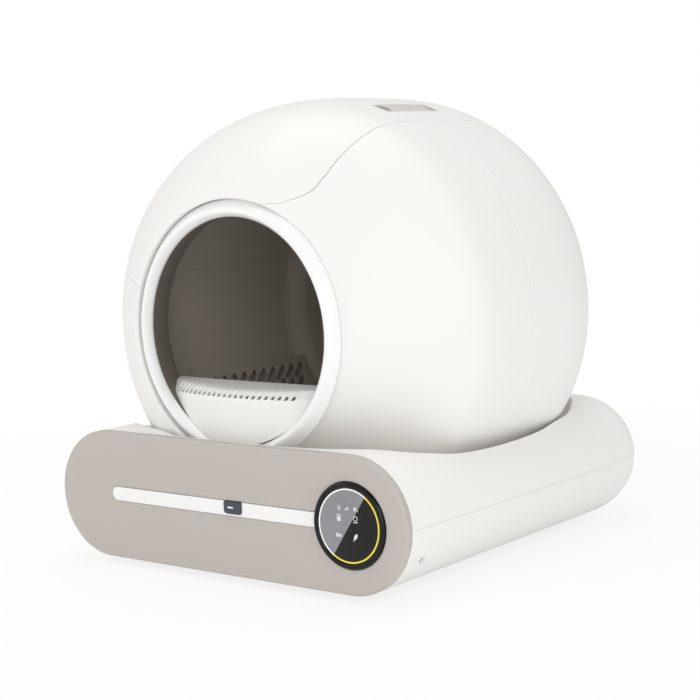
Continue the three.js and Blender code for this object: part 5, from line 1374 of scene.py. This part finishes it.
class BuildDrum(bpy.types.Operator):
    """Builds the turning drum's shells"""

    bl_idname = "litter_box.drum"
    bl_label = "Drum"

    def execute(self, context):
        for half, side in (("lower", 1), ("upper", -1)):
            shell = bisected(make_drum_shell(), DRUM_PART_Z - side * SEAT_GAP / 2, side)
            name, node = f"drum_{half}_skin", f"drum_{half}_shell"
            skin = add_piece(shell, name, node, DRUM_GREY, "drum")
        ends = (DRUM_PART_Z + 40, DRUM_PART_Z + 200)
        carve(skin, [prism(rounded_box(*DRUM_PORT), *ends, facing_up)])
        sieve = add_piece(make_sieve(), "sieve_grate_plate", "sieve_grate", DRUM_GREY, "drum")
        carve(sieve, sieve_rows())
        return {"FINISHED"}


# Base


def core_distance(x, y):
    """How far a plan point is outside the flat middle of the base."""
    qx = np.abs(x) - (CORE_HALF_WIDTH - CORE_CORNER)
    qy = y - (CORE_BACK - CORE_CORNER)
    outside = np.hypot(np.maximum(qx, 0), np.maximum(qy, 0))
    return outside + np.minimum(np.maximum(qx, qy), 0) - CORE_CORNER


def base_top(plan, sink=0.0):
    radius = BASE_RADIUS - sink
    d = np.clip(core_distance(plan[:, 0], plan[:, 1]), 0, radius)
    return PANEL_MIDDLE + np.sqrt(radius**2 - d**2)


def base_outline(swell, front=True):
    """The base's plan outline from the front right corner round the back to the front left."""
    side, back, corner = CORE_HALF_WIDTH + swell, CORE_BACK + swell, CORE_CORNER + swell
    near, far = SHELL_FRONT, back - corner
    points = [[side, y] for y in np.linspace(near, far, 70, endpoint=False)]
    points += arc(side - corner, far, corner, 0, 90, 22)[:-1]
    points += [[x, back] for x in np.linspace(side - corner, corner - side, 50, endpoint=False)]
    points += arc(corner - side, far, corner, 90, 180, 22)[:-1]
    points += [[-side, y] for y in np.linspace(far, near, 71)]
    if front:
        tilt = np.linspace(math.pi / 2, 0, 16, endpoint=False)[1:]
        left = [[-(CORE_HALF_WIDTH + swell * math.sin(a)), near] for a in tilt]
        points += left
        points += [[x, near] for x in np.linspace(-CORE_HALF_WIDTH, CORE_HALF_WIDTH, 90)]
        points += [[-x, y] for x, y in reversed(left)]
    return np.array(points)


# The well's rim, as shares of the base's half width and of its depth.
WELL_RIM_SHARES = [
    (0, 0.0249), (0.22, 0.0249), (0.415, 0.03), (0.542, 0.046), (0.662, 0.068), (0.745, 0.088),
    (0.804, 0.124), (0.847, 0.181), (0.873, 0.231), (0.89, 0.332), (0.89, 0.481), (0.88, 0.567),
    (0.862, 0.63), (0.836, 0.713), (0.79, 0.768), (0.718, 0.828), (0.62, 0.868), (0.48, 0.888),
    (0, 0.895), (-0.48, 0.888), (-0.62, 0.868), (-0.718, 0.828), (-0.79, 0.768),
    (-0.836, 0.713), (-0.862, 0.63), (-0.88, 0.567), (-0.89, 0.481), (-0.89, 0.332),
    (-0.87, 0.225), (-0.833, 0.171), (-0.775, 0.131), (-0.709, 0.109), (-0.633, 0.094),
    (-0.509, 0.074), (-0.382, 0.047), (-0.309, 0.029), (-0.22, 0.0249),
]


def well_rim(count=720):
    """A smooth closed curve through the rim's places, with chord length spacing."""
    keys = np.array([(x * BASE_WIDTH / 2, y * BASE_DEPTH) for x, y in WELL_RIM_SHARES])
    ring = np.vstack([keys[-2:], keys, keys[:3]])
    made = []
    for i in range(1, len(keys) + 1):
        p0, p1, p2, p3 = ring[i : i + 4]
        pairs = ((p0, p1), (p1, p2), (p2, p3))
        g0, g1, g2 = (max(np.linalg.norm(b - a) ** 0.5, 1e-6) for a, b in pairs)
        m1 = ((p1 - p0) / g0 - (p2 - p0) / (g0 + g1) + (p2 - p1) / g1) * g1
        m2 = ((p2 - p1) / g1 - (p3 - p1) / (g1 + g2) + (p3 - p2) / g2) * g1
        for u in np.linspace(0, 1, 24, endpoint=False):
            made.append(
                p1 * (2 * u**3 - 3 * u**2 + 1)
                + m1 * (u**3 - 2 * u**2 + u)
                + p2 * (3 * u**2 - 2 * u**3)
                + m2 * (u**3 - u**2)
            )
    closed = np.array([*made, made[0]])
    run = np.concatenate([[0], np.cumsum(np.linalg.norm(np.diff(closed, axis=0), axis=1))])
    wanted = np.linspace(0, run[-1], count, endpoint=False)
    return np.stack([np.interp(wanted, run, closed[:, k]) for k in (0, 1)], axis=1)


def nearest_on(loop, points):
    """For each point, its nearest place on a closed loop."""
    run = np.roll(loop, -1, axis=0) - loop
    made = []
    for p in points:
        u = np.clip(np.sum((p - loop) * run, axis=1) / np.sum(run * run, axis=1), 0, 1)
        place = loop + run * u[:, None]
        made.append(place[np.argmin(np.sum((place - p) ** 2, axis=1))])
    return np.array(made)


def make_base_upper(rim_edge):
    rim = well_rim()
    outer = base_outline(BASE_RADIUS)
    inner = base_outline(BASE_RADIUS - SHELL_WALL)
    on_rim, on_skirt, on_roll = (
        nearest_on(rim + distance * outward_of(rim), outer)
        for distance in (0, SHELL_WALL, rim_edge)
    )
    low = PANEL_MIDDLE + PART_LINE / 2

    def on_surface(k, start, end, sink):
        """A ring between two others, at an even step of slope along each line."""
        d0, d1 = (np.clip(core_distance(*ring.T), 0, BASE_RADIUS) for ring in (start, end))
        a0, a1 = np.arcsin(d0 / BASE_RADIUS), np.arcsin(d1 / BASE_RADIUS)
        d = BASE_RADIUS * np.sin(a0 + (a1 - a0) * k)
        steep = np.abs(d1 - d0) > 1
        w = np.where(steep, (d - d0) / np.where(steep, d1 - d0, 1), k)[:, None]
        plan = start + (end - start) * w
        return np.column_stack([plan, np.maximum(base_top(plan, sink), low)])

    rings = [on_surface(k, outer, on_roll, 0) for k in np.linspace(0, 1, 26)]
    edge_top = base_top(on_roll)
    for a in np.linspace(0, math.pi / 2, 7)[1:]:
        plan = on_roll + (on_rim - on_roll) * math.sin(a)
        rings.append(np.column_stack([plan, edge_top - rim_edge * (1 - math.cos(a))]))
    foot = np.full(len(outer), DECK_TOP + SEAT_GAP)
    rings += [np.column_stack([loop, foot]) for loop in (on_rim, on_skirt)]
    rings += [on_surface(k, inner, on_skirt, SHELL_WALL) for k in np.linspace(1, 0, 12)]
    return ring_body(rings)


def make_base_lower():
    """A bowl open at the top and at the front, whose rows end in a line under its middle."""

    def rows_of(sink):
        radius = BASE_RADIUS - sink
        made = []
        for tilt in np.linspace(0, -math.pi / 2, 24):
            plan = base_outline(radius * math.cos(tilt), front=False)
            z = min(PANEL_MIDDLE + radius * math.sin(tilt), PANEL_MIDDLE - PART_LINE / 2)
            made.append(np.column_stack([plan, np.full(len(plan), z)]))
        plan = base_outline(0, front=False)
        y = np.minimum(plan[:, 1], CORE_BACK - CORE_HALF_WIDTH)
        made.append(np.column_stack([np.zeros(len(plan)), y, np.full(len(plan), sink)]))
        return made

    outer, inner = rows_of(0), rows_of(SHELL_WALL)
    rows, cols = len(outer), len(outer[0])
    count = rows * cols
    faces = []
    for i in range(rows - 1):
        start, end = i * cols, (i + 1) * cols
        for j in range(cols - 1):
            a, b, c, d = start + j, start + j + 1, end + j + 1, end + j
            faces += [(a, b, c, d), (d + count, c + count, b + count, a + count)]
        for j in (0, cols - 1):
            faces.append((start + j, end + j, end + j + count, start + j + count))
    faces += [(j, j + 1, j + 1 + count, j + count) for j in range(cols - 1)]
    return body_of(np.concatenate([*outer, *inner]), faces)


class BuildBase(bpy.types.Operator):
    """Builds the rounded base's upper and lower shells"""

    bl_idname = "litter_box.base"
    bl_label = "Base shells"

    def execute(self, context):
        rim_edge = context.scene.litter_box_sizes.rim_edge / MM
        add_piece(make_base_upper(rim_edge), "base_upper_skin", "base_upper_shell", WHITE)
        skin = add_piece(make_base_lower(), "base_lower_skin", "base_lower_shell", WHITE)
        carve(skin, [prism(round_hole(*INLET), 240, 290, facing_right)])
        return {"FINISHED"}


# Front panel


def dish_depth(plan):
    """How far back the panel's face has gone, at places on it."""
    side = np.maximum(np.abs(plan[:, 0]) - CORE_HALF_WIDTH, 0)
    inset = BASE_RADIUS - np.hypot(side, plan[:, 1] - PANEL_MIDDLE)
    places = np.array([PANEL_EDGE_RADIUS, 12, 28, 50, 68, BASE_RADIUS])
    depths = np.array([0, 0.07, 0.27, 0.64, 0.94, 1]) * PANEL_DISH
    return smooth_table(np.clip(inset, places[0], places[-1]), places, depths)


def row(x0, x1, z, count):
    return np.column_stack([np.linspace(x0, x1, count, endpoint=False), np.full(count, z)])


def bow(x, z, radius, start, end, count):
    return np.array(arc(x, z, radius, start, end, count)[:-1])


def panel_pairs():
    """Matching points of the panel's outline and of the opening for its strip and display."""
    half = STRIP_HALF + STRIP_GAP
    top, bottom, left = STRIP_MIDDLE + half, STRIP_MIDDLE - half, STRIP_LEFT + half
    radius = DISPLAY_RADIUS + SEAT_GAP
    top_turn, low_turn = (math.asin(abs(z - PANEL_MIDDLE) / radius) for z in (top, bottom))
    top_x, low_x = (DISPLAY_X - radius * math.cos(turn) for turn in (top_turn, low_turn))
    high, start, hub = 2 * PANEL_MIDDLE, -CORE_HALF_WIDTH, (DISPLAY_X, PANEL_MIDDLE)
    outer = (
        row(start, top_x, high, 90),
        row(top_x, DISPLAY_X, high, 24),
        bow(*hub, BASE_RADIUS, 90, -90, 72),
        row(DISPLAY_X, low_x, 0, 24),
        row(low_x, start, 0, 90),
        bow(start, PANEL_MIDDLE, BASE_RADIUS, 270, 90, 72),
    )
    inner = (
        row(left, top_x, top, 90),
        bow(*hub, radius, 180 - math.degrees(top_turn), 90, 24),
        bow(*hub, radius, 90, -90, 72),
        bow(*hub, radius, -90, -180 + math.degrees(low_turn), 24),
        row(low_x, left, bottom, 90),
        bow(left, STRIP_MIDDLE, half, 270, 90, 72),
    )
    return np.concatenate(outer), np.concatenate(inner)


def make_panel():
    """The dished face, with a rounded edge outside and round the opening."""
    outer, inner = panel_pairs()
    core_x = np.clip(outer[:, 0], -CORE_HALF_WIDTH, CORE_HALF_WIDTH)
    outward = unit(outer - np.column_stack([core_x, np.full(len(outer), PANEL_MIDDLE)]))
    r, lip, chamfer = PANEL_EDGE_RADIUS, 1.2, 0.6
    start = outer - outward * r
    stop = inner - unit(inner - start) * lip
    levels = [
        (outer - outward * chamfer, PANEL_THICKNESS),
        (outer, PANEL_THICKNESS - chamfer),
    ]
    for a in np.linspace(0, math.pi / 2, 9):
        levels.append((outer - outward * r * (1 - math.cos(a)), r - r * math.sin(a)))
    for u in np.linspace(0, 1, 24)[1:]:
        plan = start + (stop - start) * u
        levels.append((plan, dish_depth(plan)))
    edge = dish_depth(stop)
    for a in np.linspace(0, math.pi / 2, 6)[1:]:
        levels.append((stop + (inner - stop) * math.sin(a), edge + lip * (1 - math.cos(a))))
    levels.append((inner, PANEL_THICKNESS))
    return ring_body(
        [np.column_stack([plan[:, 0], y + np.zeros(len(plan)), plan[:, 1]]) for plan, y in levels]
    )


def make_strip():
    # It runs on behind the display's rim.
    right = DISPLAY_X - DISPLAY_RADIUS * 0.9
    end = [[right, STRIP_MIDDLE - STRIP_HALF], [right, STRIP_MIDDLE + STRIP_HALF]]
    outline = [*arc(STRIP_LEFT + STRIP_HALF, STRIP_MIDDLE, STRIP_HALF, 90, 270, 20), *end]
    return prism(outline, PANEL_DISH - 0.5, PANEL_THICKNESS, facing_front, 0.5)


def button_outline(grow, high):
    """The button's face: square at the strip's top edge and round below."""
    left, right, low = BUTTON_LEFT - grow, BUTTON_RIGHT + grow, BUTTON_LOW - grow
    foot, top = 4.2 + grow, 0.8
    return [
        *arc(right - foot, low + foot, foot, -90, 0, 8),
        *arc(right - top, high - top, top, 0, 90, 4),
        *arc(left + top, high - top, top, 90, 180, 4),
        *arc(left + foot, low + foot, foot, 180, 270, 8),
    ]


def bar(x, z, wide, tall, front=INK_FRONT, back=INK_BACK):
    """A small printed or moulded bar about a place on the panel."""
    edge = min(wide, tall) * 0.3
    outline = rounded_box(x - wide / 2, x + wide / 2, z - tall / 2, z + tall / 2, edge, 3)
    return prism(outline, front, back, facing_front)


def printed_ring(x, z, inside, outside):
    corners = [(inside, INK_FRONT), (outside, INK_FRONT), (outside, INK_BACK), (inside, INK_BACK)]
    return turned(corners, 40, x, z)


def leaf(x, z, long, wide, lean):
    """A pointed oval, leaning."""
    along, up = math.cos(math.radians(lean)), math.sin(math.radians(lean))
    places = []
    for k in np.linspace(0, 2 * math.pi, 28, endpoint=False):
        a, b = math.cos(k) * long / 2, math.sin(k) * abs(math.sin(k)) ** 0.6 * wide / 2
        places.append((x + a * along - b * up, z + a * up + b * along))
    return prism(places, INK_FRONT, INK_BACK, facing_front)


def make_pictograms():
    """Plain signs on the display, two by two from the top."""
    lamp = [printed_ring(181.2, 101.8, 1.5, 2.3), bar(181.2, 98.7, 2.2, 0.7)]
    level = [bar(190.2 + 1.8 * k, 100 + 0.7 * k, 1.1, 1.8 + 1.4 * k) for k in range(3)]
    drop = [leaf(203.8, 101.4, 5.4, 3.4, 78), bar(207.3, 100.2, 0.9, 3)]
    bin_sign = [bar(180.7, 92.4, 7.4, 1), bar(180.7, 88.4, 5.4, 5.2), bar(180.7, 94, 2.6, 0.8)]
    drum = [printed_ring(204.2, 90.6, 2.3, 3.1), bar(204.2, 86.2, 6.4, 0.9)]
    bags = [bar(177.9, 69.6, 3, 4.6), bar(182, 69.2, 3, 3.8)]
    leaf_sign = [leaf(204, 69.6, 8.4, 4, 58), bar(201.2, 65.4, 0.8, 2.4)]
    return merged([*lamp, *level, *drop, *bin_sign, *drum, *bags, *leaf_sign])


def display_profiles():
    """The outlines of the bezel, the light guide and the lens, turned about the display's axis."""
    inner = DISPLAY_RADIUS - 7
    bezel = [
        (0.5, 7),
        (inner, 7),
        (inner, -0.2),
        (inner + 1.2, -DISPLAY_PROUD),
        (DISPLAY_RADIUS - 1.6, -DISPLAY_PROUD),
        (DISPLAY_RADIUS, 0.4),
        (DISPLAY_RADIUS, PANEL_THICKNESS),
        (0.5, PANEL_THICKNESS),
    ]
    radii = (41.3, 42.9), (0.2, 40.9)
    light, lens = ([(a, -0.4), (b, -0.4), (b, 6.7), (a, 6.7)] for a, b in radii)
    return (
        softened(bezel, [0, 0, 0.4, 0.9, 1.4, 1.4, 0.4, 0], 5),
        softened(light, 0.4, 3),
        softened(lens, [0, 0.5, 0.3, 0], 3),
    )


class BuildPanel(bpy.types.Operator):
    """Builds the front panel with its strip, button and round display"""

    bl_idname = "litter_box.panel"
    bl_label = "Front panel"

    def execute(self, context):
        top = STRIP_MIDDLE + STRIP_HALF
        add_piece(make_panel(), "front_panel_face", "front_panel", TAUPE, "drawer")
        strip = add_piece(
            make_strip(), "accent_strip_bar", "accent_strip", POLISHED_WHITE, "drawer"
        )
        carve(strip, [prism(button_outline(0.4, top + 5), -5, 20, facing_front)])
        cap = prism(button_outline(0, top), BUTTON_FRONT, 11, facing_front, 0.7, 5)
        add_piece(cap, "power_button_cap", "power_button", SLATE, "button")
        mark = bar(*BUTTON_MARK, BUTTON_FRONT - 0.12, BUTTON_FRONT + 0.2)
        add_piece(mark, "power_button_mark", "power_button", INK, "button")
        names = (
            ("display_bezel_rim", "display_bezel", BLACK),
            ("display_light_guide", "display_light_ring", LIGHT),
            ("display_lens_disc", "display_lens", LENS),
        )
        for profile, name in zip(display_profiles(), names):
            add_piece(turned(profile, 128, DISPLAY_X, PANEL_MIDDLE), *name, "drawer")
        signs = make_pictograms()
        add_piece(signs, "display_pictograms", "display_lens", INK, "drawer", weld=0)
        return {"FINISHED"}


# Fittings that keep their solid's own shape

CORNERS = [f"{end}_{side}" for end in ("front", "rear") for side in ("left", "right")]
SIDED = ("roller_cradle", "drawer_runner")
KEPT_FINISHES = {
    WHITE: ["power_inlet"],
    DRUM_GREY: ["chassis_deck", "waste_drawer"],
    DARK: [
        *(f"{part}_{side}" for part in SIDED for side in ("left", "right")),
        *("gear_motor", "switch_plunger", "button_switch"),
    ],
    GEAR_WHITE: ["ring_gear", "drive_pinion"],
    RUBBER: [f"{part}_{corner}" for part in ("foot", "roller") for corner in CORNERS],
    STEEL: ["lid_hinge_pin", "pinion_shaft", "roller_axle_left", "roller_axle_right"],
    BOARD: ["main_board", "display_board"],
}


class FinishFittings(bpy.types.Operator):
    """Gives each remaining fitting its material"""

    bl_idname = "litter_box.fittings"
    bl_label = "Fittings"

    def execute(self, context):
        for name, nodes in KEPT_FINISHES.items():
            for node in nodes:
                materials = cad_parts[node].data.materials
                materials.clear()
                materials.append(finish(name))
        return {"FINISHED"}


# Stage

CAMERA_PLACE = (1275.8, -1389.3, 474.7)
CAMERA_TURN, CAMERA_PITCH, CAMERA_ROLL = 37.636, 6.286, 1.947
FOCAL_PIXELS = 1590.67
FRAME_PIXELS = 700
SENSOR_MM = 36
AIM = (0, 0, 0.28)
ROOM_LIGHT = 0.6
PAPER_WHITE = 0.8
# Each lamp's side in metres, power in watts and place.
LAMPS = {
    "key": (1.2, 9.5, (1.36, -1.76, 0.8)),
    "overhead": (1.6, 14, (-0.2, 0.0, 2.6)),
    "left_fill": (1.2, 7, (-1.6, -1.5, 0.9)),
    "right_fill": (1.2, 4.5, (2.2, -0.4, 0.9)),
}


def add_object(name, data):
    made = bpy.data.objects.new(name, data)
    bpy.context.scene.collection.objects.link(made)
    return made


def add_floor():
    bm = bmesh.new()
    bmesh.ops.create_grid(bm, x_segments=1, y_segments=1, size=30)
    mesh = bpy.data.meshes.new("floor")
    bm.to_mesh(mesh)
    bm.free()
    colours = bpy.context.scene.litter_box_colours
    mesh.materials.append(studio_white("Paper white studio", colours.floor, PAPER_WHITE))
    floor = add_object("floor", mesh)
    floor.location = (0, 0, -0.0005)


def add_world():
    """White to the camera, and a dimmer white room to everything else."""
    world = bpy.data.worlds.new("studio")
    bpy.context.scene.world = world
    world.use_nodes = True
    tree = world.node_tree
    tree.nodes.clear()
    room, white = (
        add_node(tree, "Background", {"Color": rgba([1, 1, 1]), "Strength": strength})["Background"]
        for strength in (ROOM_LIGHT, 1.0)
    )
    seen = add_node(tree, "LightPath")["Is Camera Ray"]
    mixed = add_node(tree, "MixShader", {0: seen, 1: room, 2: white})["Shader"]
    add_node(tree, "OutputWorld", {"Surface": mixed})


def add_lamp(name, side, power, place):
    data = bpy.data.lights.new(name, "AREA")
    data.shape = "RECTANGLE"
    data.size = data.size_y = side
    data.energy = power
    lamp = add_object(name, data)
    lamp.location = place
    lamp.rotation_euler = (Vector(AIM) - Vector(place)).to_track_quat("-Z", "Y").to_euler()


def camera_turn():
    """The camera's axes as a rotation."""
    turn, pitch, roll = (math.radians(v) for v in (CAMERA_TURN, CAMERA_PITCH, CAMERA_ROLL))
    flat = Vector((-math.sin(turn), math.cos(turn), 0))
    forward = flat * math.cos(pitch) - Vector((0, 0, math.sin(pitch)))
    right = Vector((math.cos(turn), math.sin(turn), 0))
    down = forward.cross(right)
    level_right = right * math.cos(roll) + down * math.sin(roll)
    level_down = down * math.cos(roll) - right * math.sin(roll)
    return Matrix((level_right, -level_down, -forward)).transposed()


def add_camera():
    camera = add_object("camera", bpy.data.cameras.new("camera"))
    camera.data.sensor_width = SENSOR_MM
    camera.data.sensor_fit = "HORIZONTAL"
    camera.data.lens = SENSOR_MM * FOCAL_PIXELS / FRAME_PIXELS
    camera.data.clip_start = 0.05
    place = Matrix.Translation(Vector(placed(CAMERA_PLACE)))
    camera.matrix_world = place @ camera_turn().to_4x4()
    bpy.context.scene.camera = camera


class BuildStage(bpy.types.Operator):
    """Sets the floor, the lamps, the world and the camera"""

    bl_idname = "litter_box.stage"
    bl_label = "Stage"

    def execute(self, context):
        add_floor()
        add_world()
        for name, lamp in LAMPS.items():
            add_lamp(name, *lamp)
        add_camera()
        context.scene.view_settings.view_transform = "Standard"
        return {"FINISHED"}


class LitterBoxPanel(bpy.types.Panel):
    """Lists the builders of the litter box"""

    bl_idname = "VIEW3D_PT_litter_box"
    bl_label = "Litter Box"
    bl_space_type = "VIEW_3D"
    bl_region_type = "UI"
    bl_category = "Litter Box"

    def draw(self, context):
        for builder in BUILDERS:
            self.layout.operator(builder.bl_idname)


BUILDERS = (
    BuildStage,
    BuildBase,
    BuildGlobe,
    BuildLid,
    BuildEntry,
    BuildDrum,
    BuildPanel,
    FinishFittings,
)
CLASSES = (LitterBoxColours, LitterBoxSizes, *BUILDERS, LitterBoxPanel)


def register():
    for cls in CLASSES:
        bpy.utils.register_class(cls)
    bpy.types.Scene.litter_box_colours = bpy.props.PointerProperty(type=LitterBoxColours)
    bpy.types.Scene.litter_box_sizes = bpy.props.PointerProperty(type=LitterBoxSizes)


def unregister():
    del bpy.types.Scene.litter_box_sizes
    del bpy.types.Scene.litter_box_colours
    for cls in reversed(CLASSES):
        bpy.utils.unregister_class(cls)


def main():
    register()
    for builder in BUILDERS:
        group, name = builder.bl_idname.split(".")
        getattr(getattr(bpy.ops, group), name)()


if __name__ == "__main__":
    main()
